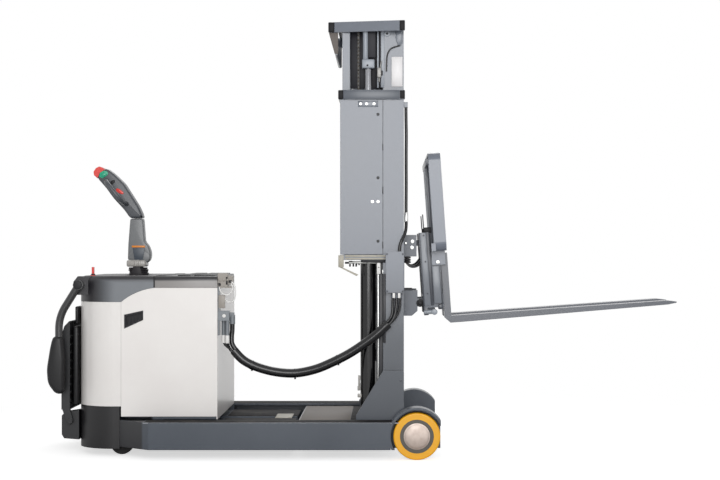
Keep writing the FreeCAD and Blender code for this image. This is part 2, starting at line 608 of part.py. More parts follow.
def hand_grip():
    """A closed loop beside the head, for one hand."""
    return tube(28, from_stem_top([(-58, -40, 74), (-70, -110, 90), (-110, -140, 137), (-150, -110, 184), (-162, -40, 198)]))


nodes["tiller_head"] = [joined([head, hand_grip(), mirrored(hand_grip())])]
tip = side_prism(from_stem_top([(-213, 210), (-230, 226), (-232, 244), (-220, 262), (-203, 271), (-183, 264),
                                (-170, 244), (-198, 232)]), -34, 34)
nodes["tiller_button"] = [tip]


# Casters either side of the drive wheel
def caster_fork():
    x, y = -axle_to_drive - 8, -caster_y
    wheel_x = x - caster_trail
    stem = rod(18, (x, y, 136), (x, y, caster_plate_z - running_gap))
    crown = rod(34, (x, y, 126), (x, y, 140))
    cheek = side_prism([(wheel_x - 14, 46), (wheel_x + 14, 46), (x + 26, 132), (x - 30, 132)],
                       y - caster_width / 2 - 9, y - caster_width / 2 - 3)
    other = cheek.copy()
    other.translate(Vector(0, caster_width + 12, 0))
    yoke = box(x - 30, x + 26, y - caster_width / 2 - 9, y + caster_width / 2 + 9, 124, 132)
    axle = rod(8, (wheel_x, y - caster_width / 2 - 9, caster_d / 2), (wheel_x, y + caster_width / 2 + 9, caster_d / 2))
    return joined([stem, crown, cheek, other, yoke, axle])


def caster_wheel():
    x, y = -axle_to_drive - 8 - caster_trail, -caster_y
    r = caster_d / 2
    tyre = rod(r, (x, y - caster_width / 2, r), (x, y + caster_width / 2, r))
    tyre = rounded(tyre, 5, lambda e: isinstance(e.Curve, Part.Circle))
    return tyre.cut(rod(8.05, (x, y - 50, r), (x, y + 50, r)))


for side, turn in (("left", lambda s: s), ("right", mirrored)):
    nodes[f"caster_fork_{side}"] = [turn(caster_fork())]
    nodes[f"caster_wheel_{side}"] = [turn(caster_wheel())]

# Front corner of the power unit: connector, valve block and hoses
connector_y = -body_half_width + 54
connector = box(-body_front, -body_front + 49, connector_y - 39, connector_y + 39, body_top - 53, body_top + 13)
connector_cap = box(-body_front + 47, -body_front + 75, connector_y - 31, connector_y + 31, body_top - 43, body_top + 1)
nodes["battery_connector"] = [joined([connector, connector_cap])]


def corner_box(x0, x1, y0, y1, z0, z1):
    """A box measured from the power unit's front, its near side and its top."""
    return box(-body_front + x0, -body_front + x1, -body_half_width + y0, -body_half_width + y1, body_top + z0, body_top + z1)


def corner_rod(radius, x, y, z0, z1):
    return rod(radius, (-body_front + x, -body_half_width + y, body_top + z0), (-body_front + x, -body_half_width + y, body_top + z1))


nodes["valve_block"] = [joined([corner_box(0, 57, 10, 70, -223, -173), corner_box(0, 8, 15, 75, -295, -53),
                                corner_rod(14, 69, 53, -240, -195), corner_box(55, 79, 41, 65, -205, -183),
                                corner_rod(10, 25, 53, -310, -221), corner_rod(10, 47, 27, -310, -221)])]
body_move = Vector(-body_front, -body_half_width, body_top) - Vector(*route_body)
mast_move = Vector(-channel_front, -mast_half_width, hose_box_bottom - 28) - Vector(*route_mast)
nodes["body_hoses"] = [tube(d, [Vector(*point) + body_move for point in route]) for d, route in body_hose_routes]
last = len(bundle_route) - 1
nodes["hose_bundle"] = [tube(bundle_d, [Vector(*point) + body_move * (1 - k / last) + mast_move * (k / last)
                                        for k, point in enumerate(bundle_route)])]

# Reach cylinder in the deck's trough
reach_z = 105.0
reach_barrel_rear = -1240.0
reach_barrel_front = reach_barrel_rear + reach_stroke + 75
reach_rod_front = reach_barrel_front + reach_stroke + 20
outer_tube = rod(32, (reach_barrel_rear, 0, reach_z), (reach_barrel_front, 0, reach_z))
bore = rod(25, (reach_barrel_rear + 15, 0, reach_z), (reach_barrel_front - 15, 0, reach_z))
gland = rod(18, (reach_barrel_front - 20, 0, reach_z), (reach_barrel_front + 1, 0, reach_z))
foot_rear = box(reach_barrel_rear, reach_barrel_rear + 20, -30, 30, deck_bottom + 8, reach_z)
foot_front = box(reach_barrel_front - 20, reach_barrel_front, -30, 30, deck_bottom + 8, reach_z)
nodes["reach_barrel"] = [joined([outer_tube, foot_rear, foot_front]).cut(bore).cut(gland)]


# Mast carriage: bed plate, gussets, side plates with rollers in the legs' channels
def carriage_side():
    outer, inner = -leg_inner + 14, -leg_inner + 14 + gusset_wall
    y0, y1 = outer, inner
    gusset = side_prism([(-gusset_rear, carriage_bed_bottom), (-gusset_rear, carriage_bed_bottom + 46),
                         (-gusset_top_rear, gusset_top), (-channel_front - 5, gusset_top), (-channel_front, gusset_top - 6),
                         (-channel_front, carriage_bed_bottom)], y0, y1)
    low = box(-carriage_bed_rear, -channel_front, y0, y1, 70, carriage_bed_top)
    rollers = []
    for x in (-gusset_rear - 60, -channel_rear - 60):
        z = floor_gap + leg_wall + running_gap + carriage_roller_d / 2
        rollers.append(rod(carriage_roller_d / 2, (x, -leg_outer + leg_wall + 6, z), (x, -leg_outer + leg_wall + 6 + carriage_roller_width, z)))
        rollers.append(rod(20, (x, -leg_outer + leg_wall + 20, z), (x, y1, z)))
    return joined([gusset, low] + rollers)


bed_half = leg_inner - 14
bed = box(-carriage_bed_rear, -channel_front - air_gap, -bed_half, bed_half, carriage_bed_bottom, carriage_bed_top)
rod_lug = box(reach_rod_front - 15, reach_rod_front + 20, -30, 30, 80, carriage_bed_bottom + 1)
rod_lug = rod_lug.cut(rod(18.05, (reach_rod_front - 20, 0, reach_z), (reach_rod_front + 10, 0, reach_z)))
nodes["mast_carriage"] = [joined([bed, rod_lug, carriage_side(), mirrored(carriage_side())])]
nodes["reach_rod"] = [rod(17.5, (reach_barrel_front - 25, 0, reach_z), (reach_rod_front + 9.9, 0, reach_z)).fuse(
    rod(24.7, (reach_barrel_front - 45, 0, reach_z), (reach_barrel_front - 24, 0, reach_z)))]


# Outer mast: channels that open inwards, a strap round the top and rear ties
def channel(outer_y, front, depth, flange, wall, z0, z1):
    shape = box(-front - depth, -front, -outer_y, -outer_y + flange, z0, z1)
    return shape.cut(box(-front - depth + wall, -front - wall, -outer_y + wall, -outer_y + flange + 1, z0 - 1, z1 + 1))


def strap(half, front, rear, z0, z1, taper=0.0, radius=40.0):
    def plan(inset, nose, low, high):
        side = half - inset
        return plan_prism([(-front + nose, -side), (-rear + inset, -side + taper), (-rear + inset, side - taper),
                           (-front + nose, side)], low, high)
    band = rounded(plan(0, 0, z0, z1), radius, lambda e: along(e, "z") and e.BoundBox.XMax < -rear + 1)
    hole = rounded(plan(strap_wall, 1, z0 - 1, z1 + 1), radius - strap_wall,
                   lambda e: along(e, "z") and e.BoundBox.XMax < -rear + strap_wall + 1)
    return band.cut(hole)


outer_channel = channel(mast_half_width, channel_front, channel_depth, channel_flange, channel_wall, carriage_bed_top, outer_strap_top)
strap_half = mast_half_width + strap_wall
outer_strap = strap(strap_half, channel_front - 4, cover_rear + 8, outer_top, outer_strap_top)
tie_z = [(chain_anchor_z - 26, chain_anchor_z)]
chain_anchors = [box(-cover_rear + 1, -pulley_x - pulley_d / 2 + 12, s * chain_y - 20, s * chain_y + 20,
                     chain_anchor_z - 16, chain_anchor_z) for s in (-1, 1)]
ties = [joined([box(-cover_rear, -cover_rear + 14, -mast_half_width, mast_half_width, z0, z1)] +
               [box(-cover_rear, -channel_rear, s * mast_half_width - (12 if s > 0 else 0),
                    s * mast_half_width + (12 if s < 0 else 0), z0, z1) for s in (-1, 1)]) for z0, z1 in tie_z]
hose_clip = box(-channel_front - 1, -channel_front + 20, -mast_half_width + 17, -mast_half_width + 39, outer_top - 37, outer_top - 11)
nodes["outer_mast"] = [joined([outer_channel, mirrored(outer_channel), outer_strap, hose_clip] + ties + chain_anchors)]


def mast_cover():
    y = -mast_half_width
    side = box(-cover_rear, -channel_rear, y, y + cover_wall, cover_bottom + 5, outer_top)
    back = box(-cover_rear, -cover_rear + cover_wall, y, y + 120, cover_bottom + 5, outer_top)
    return joined([side, back])


nodes["mast_covers"] = [mast_cover(), mirrored(mast_cover())]


def lift_barrel():
    tube_solid = rod(barrel_d / 2, (-lift_x, -lift_y, carriage_bed_top), (-lift_x, -lift_y, barrel_top))
    hollow = rod(barrel_d / 2 - 8, (-lift_x, -lift_y, carriage_bed_top + 20), (-lift_x, -lift_y, barrel_top - 20))
    mouth = rod(lift_rod_d / 2 + 0.5, (-lift_x, -lift_y, barrel_top - 30), (-lift_x, -lift_y, barrel_top + 1))
    return tube_solid.cut(hollow).cut(mouth)


nodes["lift_barrels"] = [lift_barrel(), mirrored(lift_barrel())]
hose_box = box(-channel_front - 90, -channel_front, -mast_half_width - 58, -mast_half_width, hose_box_bottom, hose_box_top)
fittings = [rod(8, (x, -mast_half_width - 29, hose_box_bottom - 28), (x, -mast_half_width - 29, hose_box_bottom + 1))
            for x in (-channel_front - 55, -channel_front - 37, -channel_front - 19)]
nodes["hose_box"] = [joined([hose_box] + fittings)]
clip_bottom = outer_top - 37
front_hose = [(-channel_front + x, -mast_half_width + y, hose_box_top + 0.3 + share * (clip_bottom - hose_box_top - 0.6))
              for x, y, share in front_hose_line]
nodes["mast_hoses"] = [tube(d, [Vector(*point) + mast_move for point in route]) for d, route in mast_hose_routes] + [
    tube(front_hose_d, front_hose)]

# Inner mast
inner_bottom = carriage_bed_top + air_gap + stage_raise
inner_channel = channel(inner_outer_y, channel_front, channel_depth, inner_flange, channel_wall, inner_bottom, inner_top - 12)
post_x0, post_x1 = cover_rear - 9, cover_rear - 47
post_y = mast_half_width - 73
post = box(-post_x0, -post_x1, -post_y, -post_y + 30, outer_strap_top - stage_raise + 20, inner_top - 12)
roof_rear = cover_rear + 20
roof_side = strap_half - 4 - inner_strap_taper * (roof_rear - channel_front) / (inner_strap_rear - channel_front)
roof = plan_prism([(-channel_front, -strap_half + 4), (-roof_rear, -roof_side), (-roof_rear, roof_side),
                   (-channel_front, strap_half - 4)], inner_top - 12, inner_top - 4)
inner_strap = strap(strap_half, channel_front - 4, inner_strap_rear, inner_strap_bottom, inner_top, inner_strap_taper)
inner_plate = box(-post_x1 + 3, -pulley_x + 4, -lift_y + 52, -lift_y + 58, outer_strap_top + 20, inner_top - 11)
cross_low = box(-channel_rear - 24, -channel_rear + 1, -inner_outer_y, inner_outer_y, inner_bottom, inner_bottom + 60)
cross_mid = box(-channel_rear - 24, -channel_rear + 1, -inner_outer_y, inner_outer_y, 1250, 1310)
roller_stubs = []
for z in (inner_bottom + 80, inner_bottom + 420):
    x = -channel_front - channel_wall - running_gap - mast_roller_d / 2
    roller_stubs.append(rod(mast_roller_d / 2, (x, -mast_half_width + channel_wall + 6, z), (x, -inner_outer_y - 8, z)))
    roller_stubs.append(rod(14, (x, -inner_outer_y - 9, z), (x, -inner_outer_y + 5, z)))
half = [inner_channel] + roller_stubs + [post, inner_plate]
guard_y = strap_half - inner_strap_taper - 5
rear_guard = side_prism([(-inner_strap_rear + 4, inner_strap_bottom + 5), (-inner_strap_rear + 32, inner_strap_bottom - 110),
                         (-inner_strap_rear + 38, inner_strap_bottom - 108), (-inner_strap_rear + 12, inner_strap_bottom + 5)],
                        -guard_y + 5, guard_y - 5)
guard_side = side_prism([(-inner_strap_rear + 4, inner_strap_bottom + 5), (-inner_strap_rear + 32, inner_strap_bottom - 110),
                         (-inner_strap_rear + 45, inner_strap_bottom - 110), (-inner_strap_rear + 45, inner_strap_bottom + 5)],
                        -guard_y, -guard_y + 6)
nodes["inner_mast"] = [joined(half + [mirrored(s) for s in half] + [roof, inner_strap, cross_low, cross_mid, rear_guard,
                                                                    guard_side, mirrored(guard_side)])]


def lift_rod():
    foot = barrel_top - 40 - lift_more
    shaft = rod(lift_rod_d / 2, (-lift_x, -lift_y, foot), (-lift_x, -lift_y, crosshead_bottom + 5))
    piston = rod(barrel_d / 2 - 8.3, (-lift_x, -lift_y, foot - 30), (-lift_x, -lift_y, foot + 1))
    block = box(-lift_x - 32, -lift_x + 32, -lift_y - 26, -lift_y + 26, crosshead_bottom, crosshead_bottom + crosshead_height)
    stay = rod(14, (-lift_x - 14, -lift_y, crosshead_bottom + crosshead_height - 1), (-lift_x - 14, -lift_y, inner_top - 12))
    return joined([shaft, piston, block, stay])


nodes["lift_rods"] = [lift_rod(), mirrored(lift_rod())]


def pulley():
    r = pulley_d / 2
    y = -chain_y
    wheel = rod(r - chain_thick / 2, (-pulley_x, y - 22, pulley_z), (-pulley_x, y + 22, pulley_z))
    fork_a = box(-pulley_x - 20, -pulley_x + 20, y - 30, y - 23, pulley_z - 20, inner_top - 12)
    fork_b = box(-pulley_x - 20, -pulley_x + 20, y + 23, y + 30, pulley_z - 20, inner_top - 12)
    pin = rod(12, (-pulley_x, y - 30, pulley_z), (-pulley_x, y + 30, pulley_z))
    wrap = rod(r + chain_thick / 2, (-pulley_x, y - chain_width / 2, pulley_z), (-pulley_x, y + chain_width / 2, pulley_z))
    wrap = wrap.common(box(-pulley_x - 100, -pulley_x + 100, y - 50, y + 50, pulley_z, pulley_z + 100))
    return joined([wheel, wrap, fork_a, fork_b, pin])


nodes["chain_pulleys"] = [pulley(), mirrored(pulley())]


# Lift chains: rear runs from the outer mast up to the pulleys, front runs down to the fork carriage
def chain_run(x, z0, z1):
    return box(x - chain_thick / 2, x + chain_thick / 2, -chain_y - chain_width / 2, -chain_y + chain_width / 2, z0, z1)


front_anchor_z = tilt_eye_z + 30 + running_gap
rear_run = chain_run(-pulley_x - pulley_d / 2, chain_anchor_z, pulley_z)
front_run = chain_run(-pulley_x + pulley_d / 2, front_anchor_z, pulley_z)
nodes["rear_chains"] = [rear_run, mirrored(rear_run)]
nodes["front_chains"] = [front_run, mirrored(front_run)]

# Fork carriage
carriage_x = -channel_front - channel_wall - running_gap - mast_roller_d / 2


def fork_carriage_half():
    outer = -carriage_half_width
    plate = box(-130, -58, outer, outer + carriage_plate_wall, carriage_foot_z, upper_block_top)
    rollers = []
    for z in (carriage_foot_z + 48, upper_block_top - 60):
        rollers.append(rod(mast_roller_d / 2, (carriage_x, -inner_outer_y + channel_wall + 5, z), (carriage_x, outer - 8, z)))
        rollers.append(rod(14, (carriage_x, outer - 9, z), (carriage_x, outer + 5, z)))
    upper = box(-60, 4, outer, outer + 60, upper_block_bottom, upper_block_top)
    nose, tip = pin_x - 11, pin_x + 18
    lower = side_prism([(-60, lower_block_bottom), (pin_x - 40, lower_block_bottom), (nose, lower_block_bottom + 25),
                        (nose, pin_z - 20), (tip, pin_z - 16), (tip, pin_z + 16), (nose, pin_z + 20), (nose, lower_block_top),
                        (-60, lower_block_top)], outer, outer + 60)
    return [plate] + rollers + [upper, lower]


half = fork_carriage_half()
cross_bars = [box(-144, -95, -carriage_half_width, carriage_half_width, z0, z0 + 60)
              for z0 in (carriage_foot_z + 5, tilt_eye_z - 30)]
fork_carriage = joined(half + [mirrored(s) for s in half] + cross_bars)
pin_bore = rod(pin_d / 2 + 0.05, (pin_x, -400, pin_z), (pin_x, 400, pin_z))
nodes["fork_carriage"] = [fork_carriage.cut(pin_bore)]
tilt_tube = rod(32, (-95, 0, tilt_eye_z), (-26, 0, tilt_eye_z))
nodes["tilt_barrel"] = [tilt_tube.cut(rod(tilt_rod_d / 2 + 0.5, (-85, 0, tilt_eye_z), (0, 0, tilt_eye_z)))]


def leaned(shape):
    """The upright tilting frame's shape moved to its place on the pin, leaning back."""
    shape = shape.copy()
    shape.translate(Vector(pin_x, 0, pin_z))
    shape.rotate(Vector(pin_x, 0, pin_z), Vector(0, 1, 0), -tilt_back)
    return shape


eye_bore_r = tilt_pin_d / 2 + tilt_eye_play
tilt_shaft = rod(tilt_rod_d / 2, (-82, 0, tilt_eye_z), (tilt_eye_x, 0, tilt_eye_z))
tilt_eye = rod(17.5, (tilt_eye_x, -17, tilt_eye_z), (tilt_eye_x, 17, tilt_eye_z))
eye_hole = rod(eye_bore_r, (tilt_eye_x, -20, tilt_eye_z), (tilt_eye_x, 20, tilt_eye_z))
nodes["tilt_rod"] = [joined([tilt_shaft, tilt_eye]).cut(eye_hole)]

# Tilting frame
uprights = [box(frame_back, frame_back + frame_thick, -y - 30, -y + 30, frame_bottom, frame_top) for y in (frame_half_width - 30, -frame_half_width + 30)]
frame_top_bar = box(frame_back, frame_back + frame_thick, -frame_half_width, frame_half_width, frame_top - 70, frame_top)
frame_low_bar = box(frame_back, frame_back + frame_thick, -frame_half_width, frame_half_width, frame_bottom, frame_bottom + 60)
fork_bars = [box(frame_back + frame_thick, shank_back - running_gap, -frame_half_width, frame_half_width, z0, z0 + 70) for z0 in (frame_top - 202, frame_bottom)]
lean = math.radians(tilt_back)
eye_rel = (tilt_eye_x - pin_x, tilt_eye_z - pin_z)
eye_up_x = eye_rel[0] * math.cos(lean) + eye_rel[1] * math.sin(lean)
eye_up_z = -eye_rel[0] * math.sin(lean) + eye_rel[1] * math.cos(lean)
clevis = box(eye_up_x - 13, frame_back + 1, -31, -19, eye_up_z - 15, eye_up_z + 15)
clevis_pin = rod(tilt_pin_d / 2, (eye_up_x, -31, eye_up_z), (eye_up_x, 31, eye_up_z))
tilt_ear = box(-20, frame_back + 1, -carriage_half_width + 60 + 2, -carriage_half_width + 60 + 18, -20, 20)
tilt_pin = rod(pin_d / 2, (0, -carriage_half_width, 0), (0, -carriage_half_width + 78, 0))
ear_half = [tilt_ear, tilt_pin, clevis]
side_plates = [box(frame_back + frame_thick, shank_back - 4, s * frame_half_width - (12 if s > 0 else 0),
                   s * frame_half_width + (12 if s < 0 else 0), frame_bottom, frame_top - 132) for s in (-1, 1)]
frame_parts = uprights + side_plates + [frame_top_bar, frame_low_bar, clevis_pin] + fork_bars + ear_half + [mirrored(s) for s in ear_half]
nodes["tilt_frame"] = [leaned(joined(frame_parts))]


def backrest():
    band = box(rest_back, rest_back + rest_depth, -rest_half_width, rest_half_width, rest_bottom, rest_top)
    band = rounded(band, rest_corner_r, lambda e: along(e, "x"))
    hole = box(rest_back - 1, rest_back + rest_depth + 1, -rest_half_width + rest_wall, rest_half_width - rest_wall,
               rest_bottom + rest_wall, rest_top - rest_wall)
    hole = rounded(hole, rest_corner_r - rest_wall, lambda e: along(e, "x"))
    bar_y = frame_half_width - 35
    bars = [box(rest_back - 14, rest_back, y - 20, y + 20, frame_top - 120, rest_top - 40)
            for y in (-bar_y, -bar_y / 3, bar_y / 3, bar_y)]
    cross = box(rest_back - 14, rest_back, -rest_half_width, rest_half_width, rest_top - 60, rest_top - 30)
    cross_low = box(rest_back - 14, rest_back + 8, -rest_half_width, rest_half_width, rest_bottom, rest_bottom + 40)
    bracket = box(rest_back - 14, rest_back + 55, frame_half_width, frame_half_width + 12, frame_top - 167, rest_bottom + 20)
    return joined([band.cut(hole), cross, cross_low, bracket, mirrored(bracket)] + bars)


nodes["load_backrest"] = [leaned(backrest())]


def fork(y):
    back, front = shank_back, shank_back + fork_thick
    heel = blade_top - fork_thick
    outline = [(back, shank_top), (front, shank_top), (front, blade_top), (fork_tip - 45, blade_top), (fork_tip, blade_top - 8),
               (fork_tip, blade_top - 14), (fork_tip - 45, blade_top - 20), (front + 60, heel), (back + 28, heel),
               (back, heel + 28)]
    return side_prism(outline, y - fork_width / 2, y + fork_width / 2)


nodes["forks"] = [leaned(fork(-fork_centre_y)), leaned(fork(fork_centre_y))]

# Move to the origin under the middle, then write each node
whole = Part.makeCompound([s for shapes in nodes.values() for s in shapes]).optimalBoundingBox(False, False)
shift_x = -(whole.XMin + whole.XMax) / 2
print(f"box x {whole.XMin:.1f} {whole.XMax:.1f}, y {whole.YMin:.1f} {whole.YMax:.1f}, z {whole.ZMin:.1f} {whole.ZMax:.1f}; shift {shift_x:.2f}")
os.makedirs("parts", exist_ok=True)
for name, shapes in nodes.items():
    solids = []
    for shape in shapes:
        shape = shape.copy()
        shape.translate(Vector(shift_x, 0, 0))
        solids += shape.Solids
    wanted = len(shapes)
    state = "" if len(solids) == wanted and all(s.isValid() for s in solids) else "  CHECK"
    print(f"{name}: {len(solids)} solids of {wanted}, {sum(s.Volume for s in solids) / 1e6:.2f} l{state}")
    result = solids[0] if len(solids) == 1 else Part.makeCompound(solids)
    result.exportStep(f"parts/{name}.step")
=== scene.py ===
import math

import bmesh
import bpy
from mathutils import Matrix, Vector


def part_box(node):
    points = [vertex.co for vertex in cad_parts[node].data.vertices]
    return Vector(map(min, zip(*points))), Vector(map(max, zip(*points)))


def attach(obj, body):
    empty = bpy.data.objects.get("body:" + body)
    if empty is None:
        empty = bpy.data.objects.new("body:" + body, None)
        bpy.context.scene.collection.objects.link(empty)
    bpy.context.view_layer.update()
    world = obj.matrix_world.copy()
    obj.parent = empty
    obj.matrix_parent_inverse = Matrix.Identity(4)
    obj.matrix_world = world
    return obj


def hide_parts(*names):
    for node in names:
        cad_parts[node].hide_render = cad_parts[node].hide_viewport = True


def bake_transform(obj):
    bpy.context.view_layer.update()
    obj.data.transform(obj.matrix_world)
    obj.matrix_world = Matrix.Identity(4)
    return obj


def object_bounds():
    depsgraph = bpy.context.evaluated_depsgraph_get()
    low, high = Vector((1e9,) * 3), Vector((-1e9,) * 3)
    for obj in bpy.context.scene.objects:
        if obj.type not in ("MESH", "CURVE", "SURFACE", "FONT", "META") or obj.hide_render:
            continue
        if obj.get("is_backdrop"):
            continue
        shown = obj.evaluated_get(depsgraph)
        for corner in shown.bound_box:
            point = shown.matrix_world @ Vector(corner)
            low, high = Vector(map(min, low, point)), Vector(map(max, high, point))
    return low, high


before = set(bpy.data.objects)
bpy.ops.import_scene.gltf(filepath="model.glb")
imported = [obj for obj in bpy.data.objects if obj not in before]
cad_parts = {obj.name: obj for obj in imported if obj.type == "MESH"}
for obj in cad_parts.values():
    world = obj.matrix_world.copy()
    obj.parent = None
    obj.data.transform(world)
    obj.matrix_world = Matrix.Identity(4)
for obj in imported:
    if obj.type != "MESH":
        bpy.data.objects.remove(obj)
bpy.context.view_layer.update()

# The camera stands level at the machine's left side, eight metres off, as a product photographer's does.
# Its frame is shifted a little, because the lens looks past the machine's middle towards the mast.
# Places are in millimetres from the load wheels' axle, with the floor at 0, as a drawing gives them.
wheel_low, wheel_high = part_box("load_tyre_left")
axle_x = (wheel_low.x + wheel_high.x) / 2


def at(x, y, z):
    return Vector((axle_x + x / 1000, y / 1000, z / 1000))


def placed(name, data):
    """A new object in the scene, made of this data."""
    made = bpy.data.objects.new(name, data)
    scene.collection.objects.link(made)
    return made


scene = bpy.context.scene
scene.view_settings.view_transform = "Standard"
camera = placed("photo_camera", bpy.data.cameras.new("photo_camera"))
camera.location = at(-131, -8090, 1024)
camera.rotation_euler = (math.radians(90), 0, 0)
camera.data.lens, camera.data.sensor_width = 77.4, 36
camera.data.shift_x, camera.data.shift_y = -0.0417, 0.0139
scene.camera = camera

# The cords: a thick bundle of hydraulic hoses and cables in a black nylon sleeve sags from the power unit
# to the mast. Three hoses feed it from the valve block, three leave it for the hose box on the mast, and one
# climbs from that box up the mast. They are rubber hoses with a smooth, slightly glossy cover, held by ties.


def linear(colour):
    """An sRGB hex colour as the linear values that a shader takes."""
    parts = [int(colour[i:i + 2], 16) / 255 for i in (1, 3, 5)]
    return [c / 12.92 if c <= 0.04045 else ((c + 0.055) / 1.055) ** 2.4 for c in parts] + [1.0]


def node(tree, kind, inputs, **settings):
    """One shader node with its settings, and its inputs as values or links."""
    made = tree.nodes.new("ShaderNode" + kind)
    for key, value in settings.items():
        setattr(made, key, value)
    for key, value in inputs.items():
        if isinstance(value, bpy.types.NodeSocket):
            tree.links.new(value, made.inputs[key])
        else:
            made.inputs[key].default_value = value
    return made


def new_material(name):
    """An empty material, its nodes, and the place on the piece that its textures start from."""
    material = bpy.data.materials.new(name)
    material.use_nodes = True
    tree = material.node_tree
    tree.nodes.clear()
    return material, tree, node(tree, "TexCoord", {}).outputs["Object"]


def surface(t, tone, rough, height, strength, depth, normal=None, **sockets):
    """Ends a material with one shader: its colour, its gloss and a fine relief, depth in metres."""
    bent = {"Normal": normal} if normal else {}
    relief = node(t, "Bump", {"Height": height, "Strength": strength, "Distance": depth, **bent})
    named = {key.replace("_", " "): value for key, value in sockets.items()}
    shader = node(t, "BsdfPrincipled", {"Base Color": tone.outputs[2], "Roughness": rough,
                                        "Normal": relief.outputs[0], **named})
    node(t, "OutputMaterial", {"Surface": shader.outputs[0]})


def cast_rubber(name, colour, other, patch, grain, rough, relief, **sockets):
    """Rubber or polyurethane: two tones in soft patches over a fine grain, both as (size in metres, detail)."""
    material, t, place = new_material(name)
    patches, fine = (node(t, "TexNoise", {"Vector": place, "Scale": 1 / size, "Detail": detail}).outputs[0]
                     for size, detail in (patch, grain))
    tone = node(t, "Mix", {0: patches, 6: linear(colour), 7: linear(other)}, data_type="RGBA")
    if isinstance(rough, tuple):
        rough = node(t, "MapRange", {"Value": patches, "To Min": rough[0], "To Max": rough[1]}).outputs[0]
    surface(t, tone, rough, fine, *relief, **sockets)
    return material


# Extruded rubber: soft black, with a faint grey bloom in patches 60 mm wide and a fine mould grain
hose_cover = cast_rubber("extruded_hose_rubber", "#0B0B0D", "#17171A", (0.06, 3.0), (0.005, 2.0), (0.14, 0.28),
                         (0.25, 0.0005), IOR=1.52, Specular_IOR_Level=0.4)


def hose_line(name, route, diameter, steps=12):
    """A smooth line through a hose's route, with its thickness."""
    line = bpy.data.curves.new(name, "CURVE")
    line.dimensions, line.resolution_u = "3D", steps
    spline = line.splines.new("NURBS")
    spline.points.add(len(route) - 1)
    for point, place_mm in zip(spline.points, route):
        point.co = (*at(*place_mm), 1)
    spline.order_u = 3
    spline.use_endpoint_u = True
    line.bevel_depth, line.bevel_resolution, line.use_fill_caps = diameter / 2, 8, True
    line.materials.append(hose_cover)
    return placed(name, line)


def mesh_of(hose):
    """The mesh that a hose's line and thickness make."""
    bpy.context.view_layer.update()
    return bpy.data.meshes.new_from_object(hose.evaluated_get(bpy.context.evaluated_depsgraph_get()))


def line_points(hose):
    """The points along a hose's middle, and the length that they add up to."""
    bare = hose.copy()
    bare.data = hose.data.copy()
    bare.data.bevel_depth = 0
    scene.collection.objects.link(bare)
    points = [v.co.copy() for v in mesh_of(bare).vertices]
    bpy.data.objects.remove(bare)
    return points, sum((b - a).length for a, b in zip(points, points[1:]))


bundle_route = [(-909, -370, 523), (-880, -372, 487), (-838, -374, 459), (-785, -377, 437), (-722, -380, 420),
                (-658, -382, 411), (-592, -385, 410), (-498, -388, 430), (-416, -392, 466),
                (-333, -395, 508), (-251, -398, 563), (-192, -400, 608), (-140, -400, 658)]
body_routes = [
    (0.024, [(-918, -362, 655), (-918, -362, 622), (-922, -364, 590), (-920.7, -368.7, 552.6), (-901.9, -370, 529.3)]),
    (0.014, [(-940, -388, 585), (-940, -388, 562), (-931.8, -377, 533.8), (-918, -378, 516.7)]),
    (0.014, [(-962, -362, 585), (-962, -362, 570), (-957, -362, 555), (-946, -361.5, 543.5), (-931.4, -361, 533.3),
             (-917.6, -362, 516.2)]),
]
mast_routes = [
    (0.014, [(-146.3, -400, 665.1), (-130.4, -400, 680.3), (-119, -398, 708), (-117, -394, 748), (-117, -394, 784)]),
    (0.014, [(-136.4, -391.8, 654.9), (-120.5, -391.8, 670.1), (-96, -393, 698), (-81, -394, 740), (-81, -394, 784)]),
    (0.014, [(-136.4, -408.2, 654.9), (-120.5, -408.2, 670.1), (-106, -405, 702), (-99, -394, 746), (-99, -394, 784)]),
    (0.016, [(-84, -388, 1016.3), (-84, -388, 1042.3), (-72, -384, 1074), (-54, -370, 1107.9), (-49, -347, 1151.9),
             (-51, -336, 1226.2), (-49.5, -333, 1346), (-50.5, -335, 1480.2), (-49, -333, 1599.9), (-51, -336, 1690.1),
             (-51, -337, 1737.7)]),
]

bundle_diameter = 0.045
guide = hose_line("bundle_guide", bundle_route, bundle_diameter)
bundle_points, bundle_length = line_points(guide)
sleeve = placed("hose_sleeve", mesh_of(guide))
bpy.data.objects.remove(guide)
sleeve.data.shade_smooth()
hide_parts("hose_bundle")
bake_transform(sleeve)
tie_radius, tie_width, tie_head = 0.0236, 0.006, 0.009
bm = bmesh.new()
for x in (-818, -601, -387, -223):
    near = min(range(1, len(bundle_points) - 1), key=lambda i: abs(bundle_points[i].x - at(x, 0, 0).x))
    here, run = bundle_points[near], bundle_points[near + 1] - bundle_points[near - 1]
    lie = Matrix.Translation(here) @ run.to_track_quat("Z", "Y").to_matrix().to_4x4()
    bmesh.ops.create_cone(bm, cap_ends=True, segments=32, radius1=tie_radius, radius2=tie_radius, depth=tie_width,
                          matrix=lie)
    head = bmesh.ops.create_cube(bm, size=tie_head)["verts"]
    bmesh.ops.translate(bm, vec=here - Vector((0, 0, 0.0255)), verts=head)
tie_mesh = bpy.data.meshes.new("bundle_ties")
bm.to_mesh(tie_mesh)
bm.free()
tie_mesh.materials.append(hose_cover)
bundle_ties = placed("bundle_ties", tie_mesh)
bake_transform(bundle_ties)
for body, node_name, routes in (("root", "body_hoses", body_routes), ("mast_base", "mast_hoses", mast_routes)):
    for number, (diameter, route) in enumerate(routes, 1):
        hose = hose_line(f"{node_name}_{number}", route, diameter)
        points, length = line_points(hose)
        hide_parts(node_name)
        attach(hose, body)

